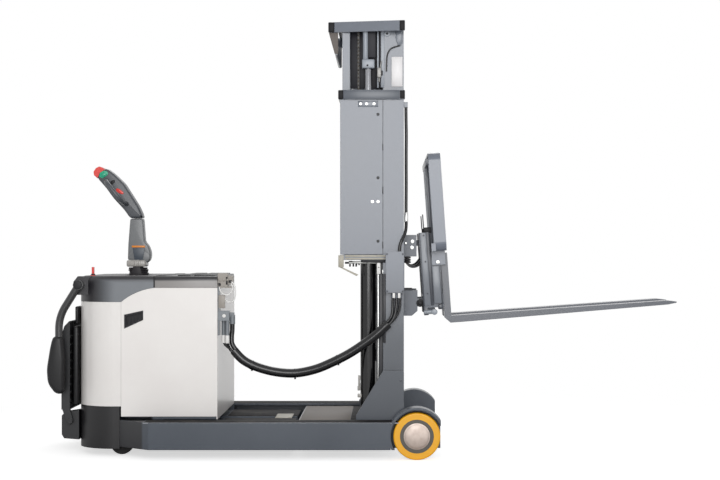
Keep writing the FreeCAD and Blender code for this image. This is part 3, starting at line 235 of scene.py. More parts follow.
# The studio: a white floor that fades into a white background, and one tall soft box behind the camera.
# Its light falls on the machine's left side and shines in the upper panels, and a weak one high behind fills the rest.
floor_mesh = bpy.data.meshes.new("floor")
bm = bmesh.new()
bmesh.ops.create_grid(bm, x_segments=1, y_segments=1, size=20)
bmesh.ops.translate(bm, vec=(0, 0, -0.0008), verts=bm.verts)
bm.to_mesh(floor_mesh)
bm.free()
floor = placed("floor", floor_mesh)
floor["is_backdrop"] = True


def direct_rays(t):
    """1 for what the camera sees, straight or in a gloss or through glass, and 0 for light on its way round."""
    ray = node(t, "LightPath", {})
    seen = node(t, "Math", {0: ray.outputs["Is Camera Ray"], 1: ray.outputs["Is Glossy Ray"]}, operation="MAXIMUM")
    seen = node(t, "Math", {0: seen.outputs[0], 1: ray.outputs["Is Transmission Ray"]}, operation="MAXIMUM")
    return ray, seen.outputs[0]


floor_paint, t, place = new_material("white_studio_floor")
reach = node(t, "VectorMath", {0: place}, operation="LENGTH")
fade = node(t, "MapRange", {"Value": reach.outputs["Value"], "From Min": 1.5, "From Max": 3.0},
            interpolation_type="SMOOTHSTEP")
ray, seen = direct_rays(t)
share = node(t, "Math", {0: fade.outputs[0], 1: seen}, operation="MULTIPLY")
lift = node(t, "Math", {0: ray.outputs["Is Camera Ray"], 1: 0.62}, operation="MULTIPLY")
matt = node(t, "BsdfDiffuse", {"Color": linear("#F4F4F4")})
pale_glow = node(t, "Emission", {"Color": linear("#FFFFFF"), "Strength": lift.outputs[0]})
near = node(t, "AddShader", {0: matt.outputs[0], 1: pale_glow.outputs[0]})
white = node(t, "Emission", {"Color": linear("#FFFFFF"), "Strength": 1.0})
both = node(t, "MixShader", {0: share.outputs[0], 1: near.outputs[0], 2: white.outputs[0]})
node(t, "OutputMaterial", {"Surface": both.outputs[0]})
floor_mesh.materials.append(floor_paint)

world = bpy.data.worlds.new("pale_room")
scene.world = world
world.use_nodes = True
t = world.node_tree
t.nodes.clear()
ray, seen = direct_rays(t)
level = node(t, "MapRange", {"Value": seen, "To Min": 0.34, "To Max": 1.0})
sky = node(t, "Background", {"Color": linear("#FFFFFF"), "Strength": level.outputs[0]})
node(t, "OutputWorld", {"Surface": sky.outputs[0]})

lamp_aim = Vector((0, 0, 0.9))
for name, place_m, size, power in (("soft_box", (0.35, -8.7, 2.8), (5.0, 4.4), 430),
                                   ("far_fill", (0.4, 5.5, 5.5), (4.0, 3.0), 110)):
    lamp = placed(name, bpy.data.lights.new(name, "AREA"))
    lamp.data.shape, lamp.data.energy = "RECTANGLE", power
    lamp.data.size, lamp.data.size_y = size
    lamp.location = place_m
    lamp.rotation_euler = (lamp_aim - Vector(place_m)).to_track_quat("-Z", "Y").to_euler()

# The frame is welded from folded sheet and plate: deck, leg channels with their wheel guards, and battery tray.
# It is powder coated in satin slate grey over rounded folds, with a slight orange peel and rubbed edges.


def powder_coat(name, colour, dusty, rough, edge="#8E9299", fold_mm=3.0, gloss_coat=0.5, painted_shade=None):
    """Powder coat over steel: satin, finely mottled and rubbed on its edges.

    Painted shade is an axis, where on it the painted shade is full and where it ends, in millimetres, and its dark
    colour.
    """
    material, t, place = new_material(name)
    broad = node(t, "TexNoise", {"Vector": place, "Scale": 1 / 0.30, "Detail": 4.0, "Roughness": 0.6})
    peel = node(t, "TexNoise", {"Vector": place, "Scale": 1 / 0.004, "Detail": 2.0})
    scratch = node(t, "TexNoise", {"Vector": place, "Scale": 1 / 0.03, "Detail": 5.0, "Roughness": 0.7})
    round_edge = node(t, "Bevel", {"Radius": fold_mm / 1000}, samples=4)
    flat = node(t, "NewGeometry", {})
    turn = node(t, "VectorMath", {0: round_edge.outputs[0], 1: flat.outputs["Normal"]}, operation="DOT_PRODUCT")
    rim = node(t, "MapRange", {"Value": turn.outputs["Value"], "From Min": 0.97, "From Max": 0.80})
    worn = node(t, "MapRange", {"Value": scratch.outputs[0], "From Min": 0.48, "From Max": 0.62, "To Max": 0.45})
    edge_wear_and_painted_highlight = node(t, "Math", {0: rim.outputs[0], 1: worn.outputs[0]}, operation="MULTIPLY")
    patch = node(t, "MapRange", {"Value": broad.outputs[0], "From Min": 0.3, "From Max": 0.7})
    tone = node(t, "Mix", {0: patch.outputs[0], 6: linear(colour), 7: linear(dusty)}, data_type="RGBA")
    # Painted shade: the coat darkens along one axis where the part lies in shade.
    if painted_shade:
        axis, full, none, dark = painted_shade
        along = node(t, "SeparateXYZ", {0: place}).outputs[axis]
        full, none = (getattr(at(v, v, v), axis.lower()) for v in (full, none))
        depth = node(t, "MapRange", {"Value": along, "From Min": none, "From Max": full},
                     interpolation_type="SMOOTHSTEP")
        tone = node(t, "Mix", {0: depth.outputs[0], 6: tone.outputs[2], 7: linear(dark)}, data_type="RGBA")
    tone = node(t, "Mix", {0: edge_wear_and_painted_highlight.outputs[0], 6: tone.outputs[2], 7: linear(edge)}, data_type="RGBA")
    gloss = node(t, "MapRange", {"Value": broad.outputs[0], "To Min": rough - 0.05, "To Max": rough + 0.07})
    surface(t, tone, gloss.outputs[0], peel.outputs[0], 0.10, 0.0004, round_edge.outputs[0], IOR=1.5,
            Coat_Weight=gloss_coat, Coat_Roughness=0.22)
    return material


def dress(material, *names):
    """Gives CAD nodes a finish."""
    for name in names:
        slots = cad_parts[name].data.materials
        slots.clear()
        slots.append(material)


def finished(name, bm, body, material, angle=35):
    """A piece from a bmesh, smooth but for its sharp edges, that moves with a body."""
    bmesh.ops.recalc_face_normals(bm, faces=bm.faces)
    mesh = bpy.data.meshes.new(name)
    bm.to_mesh(mesh)
    bm.free()
    mesh.shade_smooth()
    mesh.set_sharp_from_angle(angle=math.radians(angle))
    mesh.materials.append(material)
    made = placed(name, mesh)
    if body:
        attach(made, body)
    return made


def bar(bm, low, high, edge=1.0):
    """A straight bar or plate between two corners in millimetres, its edges rounded."""
    made = bmesh.ops.create_cube(bm, size=1)["verts"]
    low, high = at(*low), at(*high)
    bmesh.ops.scale(bm, vec=high - low, verts=made)
    bmesh.ops.translate(bm, vec=(low + high) / 2, verts=made)
    if edge:
        edges = list({e for v in made for e in v.link_edges})
        made = bmesh.ops.bevel(bm, geom=edges, offset=edge / 1000, segments=2, profile=0.5, affect="EDGES",
                               material=-1)["verts"]
    return made


def turned(bm, centre, axis, radius, length, edge=1.5, sides=24, end_radius=None):
    """A round piece about an axis, as from a lathe, its rims rounded. Sizes in millimetres."""
    end_radius = radius if end_radius is None else end_radius
    lie = Matrix.Translation(at(*centre)) @ Vector(axis).to_track_quat("Z", "Y").to_matrix().to_4x4()
    made = bmesh.ops.create_cone(bm, cap_ends=True, segments=sides, radius1=radius / 1000, radius2=end_radius / 1000,
                                 depth=length / 1000, matrix=lie)["verts"]
    if edge:
        rims = [e for e in {e for v in made for e in v.link_edges} if any(len(f.verts) == sides for f in e.link_faces)]
        made = bmesh.ops.bevel(bm, geom=rims, offset=edge / 1000, segments=2, profile=0.5, affect="EDGES",
                               material=-1)["verts"]
    return made


def cut_plate(bm, outline, y0, y1, edge=1.0, steps=2):
    """A plate with an outline given as (x, z) and its two sides at y0 and y1, edges rounded."""
    verts = [bm.verts.new(at(x, y0, z)) for x, z in outline]
    face = bm.faces.new(verts)
    grown = bmesh.ops.extrude_face_region(bm, geom=[face])["geom"]
    far = [v for v in grown if isinstance(v, bmesh.types.BMVert)]
    bmesh.ops.translate(bm, vec=(0, (y1 - y0) / 1000, 0), verts=far)
    if edge:
        edges = list({e for v in verts + far for e in v.link_edges})
        bmesh.ops.bevel(bm, geom=edges, offset=edge / 1000, segments=steps, profile=0.5, affect="EDGES", material=-1)
    return verts + far


def mirror(bm):
    """Repeats on the machine's left side what a piece has on its right side."""
    made = bmesh.ops.duplicate(bm, geom=bm.verts[:] + bm.edges[:] + bm.faces[:])["geom"]
    bmesh.ops.scale(bm, vec=(1, -1, 1), verts=[v for v in made if isinstance(v, bmesh.types.BMVert)])


slate = powder_coat("satin_slate_powder_coat", "#3C434D", "#424953", 0.36, fold_mm=7.0, gloss_coat=0.25)
dress(slate, "chassis_frame")
# The legs' coat darkens to near black behind x -1336, full at -1350: painted shade on the flared rear ends, which turn
# away from the light.
dress(powder_coat("satin_slate_leg_coat", "#3C434D", "#424953", 0.36, fold_mm=9.0, gloss_coat=0.25,
                  painted_shade=("X", -1350, -1336, "#15161B")), "straddle_legs")
# A pale strip along each leg's top outer edge is a painted highlight, where the rounded edge catches the soft box.
edge_wear_and_painted_highlight = powder_coat("painted_highlight_leg_edge_coat", "#989CA3", "#A2A6AC", 0.3, gloss_coat=0.4)
bm = bmesh.new()
bar(bm, (-1336, 546.5, 178), (-70, 549.8, 182.8), edge=1.2)
mirror(bm)
finished("painted_highlight_leg_edges", bm, "root", edge_wear_and_painted_highlight)

# Deck: thin ribbed rubber mats either side of the trough that holds the reach cylinder, black and dusty.
# A cream plate closes the trough's front end, and the mast's sliding bed has a rubbed top whose beige grey is partly
# wear and partly painted reflection of the pale studio.
mat_rubber, t, place = new_material("dusty_ribbed_deck_rubber")
ribs = node(t, "TexWave", {"Vector": place, "Scale": 1 / 0.02, "Distortion": 0.2}, bands_direction="X")
dust = node(t, "TexNoise", {"Vector": place, "Scale": 1 / 0.12, "Detail": 5.0, "Roughness": 0.7})
settled = node(t, "MapRange", {"Value": dust.outputs[0], "From Min": 0.46, "From Max": 0.66})
tone = node(t, "Mix", {0: settled.outputs[0], 6: linear("#141316"), 7: linear("#3A3735")}, data_type="RGBA")
surface(t, tone, 0.75, ribs.outputs[0], 0.5, 0.001, IOR=1.45, Specular_IOR_Level=0.2)
bm = bmesh.new()
bar(bm, (-984, 58, 149.5), (-615, 380, 152), edge=0.8)
mirror(bm)
finished("deck_mats", bm, "root", mat_rubber)
# Strips of the black deck rubber on the legs' tops are painted reflection: they darken the tops where these show a dark
# reflection.
bm = bmesh.new()
bar(bm, (-1334, 421, 181.5), (-80, 546, 182.4), edge=0.3)
mirror(bm)
finished("leg_top_painted_reflection_strips", bm, "root", mat_rubber)
# The bed plate's beige grey: partly wear, partly painted reflection of the pale studio.
worn_plate_with_painted_reflection = powder_coat("worn_bed_plate_painted_reflection", "#57504A", "#6A6159", 0.6, edge="#8C857E", gloss_coat=0.0)
bed_low, bed_top, bed_half = 167.5, 169.2, 398
bm = bmesh.new()
bar(bm, (-586, -bed_half, bed_low), (-332, bed_half, bed_top), edge=0.5)
finished("mast_bed_wear_and_painted_reflection_plate", bm, "mast_base", worn_plate_with_painted_reflection)
bm = bmesh.new()
bar(bm, (-331, -bed_half, bed_low), (-282, bed_half, bed_top), edge=0.5)
finished("mast_bed_mat", bm, "mast_base", mat_rubber)
cream_plate = powder_coat("cream_primed_plate", "#A09B8E", "#B2AD9F", 0.5, edge="#DDD8CC", gloss_coat=0.1)
bm = bmesh.new()
bar(bm, (-728, -54, 149), (-642, 150, 153.5), edge=0.6)
for x in (-716, -654):
    for y in (-40, 136):
        turned(bm, (x, y, 154), (0, 0, 1), 5, 3, edge=0.6, sides=12)
finished("trough_end_plate", bm, "root", cream_plate)

# Load wheels: amber polyurethane cast on a steel hub, with a turned cover over the bearing.
# The tyre is satin and slightly translucent, with a fine grain. The cover is bare steel with tool marks and stains.
dress(cast_rubber("cast_amber_polyurethane", "#E8A60C", "#F0B016", (0.05, 3.0), (0.006, 3.0), 0.38, (0.2, 0.0005),
                  IOR=1.5, Subsurface_Weight=0.08, Subsurface_Scale=0.01), "load_tyre_left", "load_tyre_right")


def turned_metal(name, colour, dark, rough, spot):
    """Machined metal: fine tool marks and stains about spot millimetres wide."""
    material, t, place = new_material(name)
    stain = node(t, "TexNoise", {"Vector": place, "Scale": 1000 / spot, "Detail": 4.0})
    marks = node(t, "TexNoise", {"Vector": place, "Scale": 1 / 0.003, "Detail": 2.0})
    tone = node(t, "Mix", {0: stain.outputs[0], 6: linear(colour), 7: linear(dark)}, data_type="RGBA")
    gloss = node(t, "MapRange", {"Value": stain.outputs[0], "To Min": rough - 0.08, "To Max": rough + 0.12})
    surface(t, tone, gloss.outputs[0], marks.outputs[0], 0.12, 0.0003, Metallic=1.0)
    return material


hub_iron = powder_coat("dark_primer_on_hub", "#47443F", "#53504A", 0.5, gloss_coat=0.1)
hub_steel = turned_metal("turned_bearing_cover_steel", "#BDB0A8", "#A79A92", 0.5, 20)
dress(hub_iron, "load_hub_left", "load_hub_right")
both_sides = (("left", -1), ("right", 1))
leg_outer, wheel_radius = 550, 115
for side, way in both_sides:
    bm = bmesh.new()
    face_y = way * leg_outer
    turned(bm, (0, face_y - way * 5, wheel_radius), (0, way, 0), 65, 6, sides=64)
    turned(bm, (0, face_y - way * 3.2, wheel_radius), (0, way, 0), 60, 6, edge=2.5, sides=64, end_radius=57)
    finished(f"load_wheel_cover_{side}", bm, f"load_wheel_{side}", hub_steel)

# Drive unit under the power unit: cast reduction box, motor and axle in black, on a black polyurethane wheel.
# Two swivelling casters of the same material run beside it in pressed forks.
black_coat = powder_coat("satin_black_powder_coat", "#121316", "#1A1B1E", 0.42, edge="#3C3D41", gloss_coat=0.0)
dress(black_coat, "drive_unit", "caster_fork_left", "caster_fork_right", "reach_barrel")
dress(cast_rubber("black_polyurethane_tread", "#161617", "#2C2B2A", (0.04, 4.0), (0.04, 4.0), 0.55, (0.15, 0.0006),
                  IOR=1.5, Specular_IOR_Level=0.3), "drive_wheel", "caster_wheel_left", "caster_wheel_right")

# Power unit's panels: pressed steel doors and a wrapped rear panel in pale warm grey, glossier than the frame.
# They are stove enamelled and smooth. The skirt below is the same pressing in near black.
pale = powder_coat("pale_stove_enamel", "#E6E2DF", "#EBE8E5", 0.34, edge="#D9D6D3", gloss_coat=0.3)
dress(pale, "rear_cover", "side_covers", "front_panel")
skirt_black = powder_coat("near_black_skirt_coat", "#0C0B0E", "#111013", 0.42, edge="#38383C", gloss_coat=0.0)
dress(skirt_black, "rear_skirt")

# Handle recesses in the side doors: black mouldings, textured inside.
# A lip runs round the opening, a shelf inside it is what the fingers pull on, and four short ribs stand below it.


def moulded(name, colour, other, rough, grain_mm, depth=0.0004, strength=0.35, shine=0.5, painted_shade_crown=None):
    """Moulded plastic or foam skin: fine grain and a slight change of tone.

    A painted shade crown is a darker colour painted where a piece turns away from the light, and the heights and then
    the places in x between which it comes in.
    """
    material, t, place = new_material(name)
    grain = node(t, "TexVoronoi", {"Vector": place, "Scale": 1000 / grain_mm})
    broad = node(t, "TexNoise", {"Vector": place, "Scale": 1 / 0.12, "Detail": 3.0})
    round_edge = node(t, "Bevel", {"Radius": 0.0025}, samples=4)
    tone = node(t, "Mix", {0: broad.outputs[0], 6: linear(colour), 7: linear(other)}, data_type="RGBA")
    if painted_shade_crown:
        dark, z0, z1, x0, x1 = painted_shade_crown
        apart = node(t, "SeparateXYZ", {0: place})
        above = node(t, "MapRange", {"Value": apart.outputs["Z"], "From Min": z0 / 1000, "From Max": z1 / 1000},
                     interpolation_type="SMOOTHSTEP")
        behind = node(t, "MapRange", {"Value": apart.outputs["X"], "From Min": at(x0, 0, 0).x,
                                      "From Max": at(x1, 0, 0).x}, interpolation_type="SMOOTHSTEP")
        most = node(t, "Math", {0: above.outputs[0], 1: behind.outputs[0]}, operation="MAXIMUM")
        tone = node(t, "Mix", {0: most.outputs[0], 6: tone.outputs[2], 7: linear(dark)}, data_type="RGBA")
    gloss = node(t, "MapRange", {"Value": broad.outputs[0], "To Min": rough - 0.06, "To Max": rough + 0.08})
    surface(t, tone, gloss.outputs[0], grain.outputs["Distance"], strength, depth, round_edge.outputs[0], IOR=1.5,
            Specular_IOR_Level=shine)
    return material


black_moulding = moulded("textured_black_abs", "#151518", "#1D1D20", 0.5, 2.5, shine=0.3)
dress(black_moulding, "side_grips")
bm = bmesh.new()
for x, z in ((-1437, 657), (-1420, 661), (-1403, 665), (-1386, 669)):
    bar(bm, (x, 408.5, z), (x + 6, 410.5, z + 38), edge=0.8)
mirror(bm)
finished("side_grip_ribs", bm, "root", black_moulding)

# Top cover over the drive end: thick vacuum-formed ABS in mid grey, finely textured, with its top and rear painted
# darker as painted shade.
# The lid over the battery is a lighter, smoother pressing with rounded long edges and a raised panel on top, its top
# and rounded long edges painted darker as painted shade.
grey_moulding = moulded("textured_mid_grey_abs", "#6E7277", "#787C81", 0.42, 3.0,
                        painted_shade_crown=("#232226", 858, 887, -1480, -1615))
lid_moulding = moulded("smooth_warm_grey_lid", "#8C8987", "#979492", 0.36, 3.0, strength=0.15,
                       painted_shade_crown=("#2B2A2D", 866, 879, -1700, -1800))
red_moulding = moulded("translucent_red_abs", "#D8352C", "#E8443A", 0.30, 4.0, strength=0.1)
dress(grey_moulding, "top_cover")
dress(red_moulding, "stop_lever")
dress(black_coat, "battery_block")
lid_top, lid_half = 895, 414.8
bm = bmesh.new()
shell = bar(bm, (-1299.7, -lid_half, 836.4), (-987.2, lid_half, lid_top), edge=0)
long_edges = [e for e in {e for v in shell for e in v.link_edges}
              if min(v.co.z for v in e.verts) > (lid_top - 5) / 1000 and abs(e.verts[0].co.y - e.verts[1].co.y) < 0.01]
bmesh.ops.bevel(bm, geom=long_edges, offset=0.022, segments=5, profile=0.5, affect="EDGES", material=-1)
rest_edges = [e for e in bm.edges if abs(e.verts[0].co.x - e.verts[1].co.x) < 1e-5]
bmesh.ops.bevel(bm, geom=rest_edges, offset=0.0025, segments=2, profile=0.5, affect="EDGES", material=-1)
lid = finished("battery_lid_shell", bm, "root", lid_moulding)
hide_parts("battery_lid")
bm = bmesh.new()
for x0, x1 in ((-1190, -1128), (-1108, -1004)):
    bar(bm, (x0, -370, lid_top - 2), (x1, 370, lid_top + 5), edge=3)
bar(bm, (-1298, -380, lid_top - 2), (-1250, 380, lid_top + 2), edge=2)
finished("battery_lid_panels", bm, "root", black_moulding)
bm = bmesh.new()
bar(bm, (-1304, 413, 838), (-1297, 416.5, 893))
turned(bm, (-1683, 413.5, 850), (0, 1, 0), 21, 4, sides=40)
mirror(bm)
turned(bm, (-1628, -285, 900), (0, 0, 1), 13, 10, edge=2, end_radius=9)
finished("stop_lever_boot", bm, "root", black_moulding)

# Rear: a moulded foam pad for the knees, and a platform that folds down for the driver to stand on.
# The pad has a smooth black skin that crowns between its rounded edges. The platform is plate with a ribbed mat.
foam = moulded("skinned_black_foam", "#0E0E10", "#161618", 0.42, 3.5, shine=0.35)
dress(black_coat, "platform_hinge")
bm = bmesh.new()
bar(bm, (-1728, -298, 243), (-1700, 298, 640), edge=0)
front = [f for f in bm.faces if f.normal.x < -0.9]
bmesh.ops.inset_region(bm, faces=front, thickness=0.012, depth=0.0)
front = [f for f in bm.faces if f.normal.x < -0.9 and f.calc_area() > 0.1]
bmesh.ops.inset_region(bm, faces=front, thickness=0.05, depth=0.004)
bmesh.ops.bevel(bm, geom=[e for e in bm.edges if e.is_boundary or e.calc_face_angle(0) > 1.0], offset=0.009, segments=3,
                profile=0.5, affect="EDGES", material=-1)
bar(bm, (-1717, -296, 650), (-1700, 296, 740), edge=7)
pad = finished("knee_pad_foam", bm, "root", foam, angle=60)
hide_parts("knee_pad")
dress(black_coat, "platform")
bm = bmesh.new()
for z in range(262, 583, 40):
    bar(bm, (-1741, -300, z), (-1736.5, 300, z + 12), edge=1.5)
finished("platform_mat_ribs", bm, "platform_body", foam)
bm = bmesh.new()
turned(bm, (-1740, 299, 159), (0, 1, 0), 11, 8, sides=6)
mirror(bm)
finished("hinge_bolts", bm, "root", turned_metal("zinc_plated_steel_bolt", "#C9C9C6", "#A5A6A4", 0.32, 15))

# Side arms: bent steel tube on pins in the top cover's lugs, with moulded foam pads that hold the driver in.
# The foam has a smooth skin and fat rounded edges all round.
dress(powder_coat("gloss_black_tube_paint", "#1B1B1D", "#242426", 0.24, edge="#5A5A5E", gloss_coat=0.4),
      "side_arm_left", "side_arm_right")
pad_outline = [(-1806, 597), (-1758, 597), (-1748, 480), (-1750, 310), (-1794, 308), (-1832, 360), (-1838, 430),
               (-1820, 545)]
for side, y0, y1 in (("left", -414, -356), ("right", 356, 414)):
    bm = bmesh.new()
    cut_plate(bm, pad_outline, y0, y1, edge=21, steps=5)
    pad = finished(f"arm_pad_foam_{side}", bm, f"arm_{side}", foam, angle=60)
    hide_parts(f"arm_pad_{side}")

# Tiller: a die-cast stem in mid grey with a silver clamp at its foot, on a rubber bellows that hides the yoke.
# A funnel-shaped switch plate with an orange mark is let into the stem's side.
stem_grey = moulded("satin_grey_die_casting", "#6E7072", "#77797B", 0.38, 4.0, strength=0.15)
zinc = turned_metal("zinc_plated_steel", "#C9C9C6", "#A5A6A4", 0.32, 15)
bm = bmesh.new()
cut_plate(bm, [(-1497, 972), (-1494, 1060), (-1484, 1187.5), (-1417.5, 1187.5), (-1409, 1070), (-1390, 1047),
               (-1379, 1018), (-1377, 992), (-1384, 972)], -33, 33, edge=8, steps=3)
stem = finished("tiller_stem_casting", bm, "tiller", stem_grey, angle=50)
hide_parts("tiller_stem")
silver_clamp = moulded("pale_silver_clamp", "#A5A29E", "#B4B1AC", 0.3, 4.0, strength=0.1)
bm = bmesh.new()
bar(bm, (-1500, -53, 937), (-1400, 53, 971), edge=8)
for x in (-1452, -1433):
    bar(bm, (x - 6, -56, 940), (x + 6, -51, 968), edge=2)
finished("tiller_clamp", bm, "tiller", silver_clamp, angle=50)
bm = bmesh.new()
turned(bm, (-1410, 0, 988), (0, 1, 0), 30, 70, edge=4, sides=40)
finished("tiller_pivot_boss", bm, "tiller", stem_grey, angle=50)
funnel = moulded("slate_switch_plate", "#3B434D", "#434B55", 0.4, 3.0)
orange = moulded("orange_marker_strip", "#E0821C", "#EA9430", 0.4, 3.0, strength=0.1)
for side, way in both_sides:
    bm = bmesh.new()
    cut_plate(bm, [(-1471, 1035), (-1406, 1035), (-1417, 973), (-1460, 973)], way * 35.5, way * 31)
    finished(f"tiller_switch_plate_{side}", bm, "tiller", funnel)
    bm = bmesh.new()
    cut_plate(bm, [(-1475, 1037), (-1406, 1037), (-1406, 1047), (-1475, 1047)], way * 35, way * 31)
    finished(f"tiller_marker_{side}", bm, "tiller", orange)
folds, fold_pitch = 6, 9.5
bm = bmesh.new()
for k in range(folds):
    turned(bm, (-1447 + 1.6 * k, 0, 929 - fold_pitch * k), (0, 0, 1), 49 + (k % 2) * 3, 9, edge=3, sides=48)
cut_plate(bm, [(-1466, 938), (-1428, 938), (-1416, 884), (-1478, 884)], -55, 55, edge=3)
bellows = finished("tiller_bellows", bm, None, moulded("rubber_bellows", "#1B191C", "#262327", 0.5, 3.0, shine=0.3))
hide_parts("tiller_yoke")
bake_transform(bellows)

# Control head: a moulded grey shell, rounded all along, with a green travel rocker and a red horn switch each side.
# Two hand grips run beside it, and the red cap on its tip stops the machine when it is pressed.
head_grey = moulded("satin_dark_grey_control_head", "#45484D", "#4F5257", 0.38, 3.0, strength=0.2)
bm = bmesh.new()
cut_plate(bm, [(-1483, 1189), (-1515, 1234), (-1569, 1292), (-1610, 1349), (-1652, 1396), (-1647, 1424),
               (-1606, 1450), (-1566, 1420), (-1515, 1371), (-1474, 1307), (-1440, 1253), (-1418, 1204),
               (-1420, 1189)], -44, 44, edge=14, steps=4)
shell = finished("tiller_head_shell", bm, "tiller", head_grey, angle=60)
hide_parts("tiller_head")
for side, way in both_sides:
    grip_route = [(-1500, 36, 1262), (-1506, 86, 1268), (-1520, 132, 1286), (-1552, 138, 1325), (-1584, 132, 1364),
                  (-1600, 86, 1382), (-1604, 36, 1386)]
    holder = hose_line("grip_holder", [(x, way * y, z) for x, y, z in grip_route], 0.025, steps=10)
    bm = bmesh.new()
    bm.from_mesh(mesh_of(holder))
    bpy.data.objects.remove(holder)
    finished(f"hand_grip_{side}", bm, "tiller", head_grey, angle=60)
green = moulded("green_travel_rocker", "#1E9C78", "#2CB08A", 0.35, 3.0, strength=0.1)
for side, way in both_sides:
    bm = bmesh.new()
    cut_plate(bm, [(-1643, 1404), (-1640, 1424), (-1622, 1437), (-1602, 1434), (-1594, 1420), (-1606, 1408),
                   (-1626, 1396)], way * 47.5, way * 42, edge=2)
    cut_plate(bm, [(-1632, 1408), (-1629, 1420), (-1618, 1428), (-1606, 1424), (-1604, 1416), (-1622, 1404)],
              way * 50, way * 46, edge=2)
    finished(f"travel_rocker_{side}", bm, "tiller", green)
    bm = bmesh.new()
    cut_plate(bm, [(-1557, 1340), (-1549, 1345), (-1535, 1340), (-1518, 1326), (-1515, 1317), (-1524, 1314),
                   (-1543, 1321), (-1555, 1331)], way * 46.5, way * 42, edge=1.5)
    finished(f"horn_switch_{side}", bm, "tiller", red_moulding)
    bm = bmesh.new()
    cut_plate(bm, [(-1589, 1372), (-1577, 1386), (-1562, 1388), (-1560, 1378), (-1578, 1358), (-1588, 1360)],
              way * 46, way * 42, edge=1.5)
    finished(f"lift_switch_{side}", bm, "tiller", black_moulding)
dress(red_moulding, "tiller_button")

# Front corner of the power unit: the battery's plug, and the valve block that feeds the hoses.
# The plug is pale grey polycarbonate, the block grey anodised, and two thin pale cables loop between them.
grey_plug = moulded("grey_polycarbonate", "#8F8982", "#9B958E", 0.4, 3.0)
dress(grey_plug, "battery_connector")
dress(powder_coat("grey_anodised_valve_block", "#70757A", "#7C8186", 0.4, gloss_coat=0.2), "valve_block")
nylon = moulded("white_nylon", "#E2E1DF", "#EBEAE8", 0.4, 3.0, strength=0.1)
bm = bmesh.new()
for x, y, z0, z1 in ((-940, -388, 560, 600), (-962, -362, 560, 600), (-918, -362, 640, 662)):
    turned(bm, (x, y, (z0 + z1) / 2), (0, 0, 1), 10.5, z1 - z0)
turned(bm, (-955, -406, 697), (0, -1, 0), 9, 5, edge=1.2)
finished("hose_ferrules", bm, "root", nylon)
bm = bmesh.new()
for x in (-976, -958, -940):
    turned(bm, (x, -401, 875), (0, -1, 0), 7, 5, edge=1.2)
bar(bm, (-984, -404, 735), (-950, -396, 800), edge=2)
bar(bm, (-984, -400, 836), (-916, -330, 843), edge=1.5)
finished("plug_screws", bm, "root", grey_plug)
loop_routes = [[(-926, -398, 868), (-908, -404, 862), (-899, -407, 838), (-898, -408, 805), (-903, -408, 778),
                (-918, -406, 764), (-938, -403, 766), (-950, -400, 780)],
               [(-978, -402, 840), (-976, -407, 824), (-964, -410, 808), (-944, -411, 800), (-926, -410, 806),
                (-914, -408, 824), (-913, -405, 843), (-920, -402, 858)]]
lead_diameter = 0.007
for number, route in enumerate(loop_routes, 1):
    loop = hose_line(f"plug_loop_{number}", route, lead_diameter)
    loop.data.materials.clear()
    loop.data.materials.append(nylon)
    loop_points, loop_length = line_points(loop)
    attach(loop, "root")
bm = bmesh.new()
bar(bm, (-984, -403.5, 846), (-972, -398, 860))
bar(bm, (-946, -403.5, 852), (-938, -398, 890))
bar(bm, (-932, -403.5, 862), (-918, -398, 874))
finished("plug_slots", bm, "root", black_moulding)

# Mast base: rolled channels welded to a bed that slides on the deck, under box heads that carry the chain anchors.
# A rubber-covered hose comes up in front, and small guide blocks, bolts and plugs sit in the head plates.
# The mast's coat is the frame's slate painted lighter as painted light, for the brighter light on the upper mast, and
# from 1000 mm down to 520 mm it darkens again as painted shade.
mast_coat = powder_coat("satin_mast_coat_painted_light_and_shade", "#5E646E", "#666C77", 0.36, edge="#A3A7AD", fold_mm=4.0,
                        painted_shade=("Z", 520, 1000, "#343B45"))
dress(mast_coat, "outer_mast", "inner_mast", "mast_carriage", "hose_box")
mast_dark = powder_coat("dark_slate_powder_coat", "#343841", "#3B4049", 0.4, edge="#7D8189", gloss_coat=0.3)
mast_light = powder_coat("light_grey_bracket_coat", "#8B919A", "#959BA3", 0.4, edge="#B9BCC1", gloss_coat=0.3)
bolt_white = turned_metal("bright_zinc_screw", "#E2E2E0", "#C4C5C4", 0.3, 8)
plate_foot, plate_top = 1840, 2152
bm = bmesh.new()
turned(bm, (-146, 299, 2112), (0, 1, 0), 15, 6, edge=1.2)
bar(bm, (-196, 291, plate_foot), (-188, 301, plate_top), edge=0.8)
bar(bm, (-177, 296, plate_foot + 2), (-160, 300.4, plate_top), edge=0.5)
mirror(bm)
finished("mast_head_bolts", bm, "inner_stage", mast_light)
# The thin black sheets at y 250.5 to 253.5 either side, from x -331 to -182, are painted shade that closes the view
# into the mast head's shaded inside.
bm = bmesh.new()
turned(bm, (-146, 303, 2112), (0, 1, 0), 5.5, 3, edge=0.6, sides=12)
turned(bm, (-244, 328, 1950), (0, 1, 0), 5.5, 3, edge=0.6, sides=6)
bar(bm, (-185, 292, plate_foot), (-177.5, 302, plate_top), edge=0.8)
bar(bm, (-331, 250.5, plate_foot + 2), (-182, 253.5, plate_top + 4), edge=0.5)
bar(bm, (-243, 304, 1992), (-203, 310, 2150))
bar(bm, (-178, 300, 1902), (-168, 312, 1926), edge=2)
mirror(bm)
finished("mast_head_dark_plates", bm, "inner_stage",
         moulded("black_oiled_steel_and_painted_shade", "#15151B", "#1C1C24", 0.5, 4.0, shine=0.3))
bm = bmesh.new()
cut_plate(bm, [(-103, plate_top), (-68, plate_top), (-68, 2066), (-80, 2050), (-92, 2056), (-103, 2086)], 299, 302.4)
mirror(bm)
finished("mast_guide_blocks", bm, "inner_stage", mast_coat)
bm = bmesh.new()
bar(bm, (-123, 299.6, 1846), (-68, 301, 1996), edge=0.3)
mirror(bm)
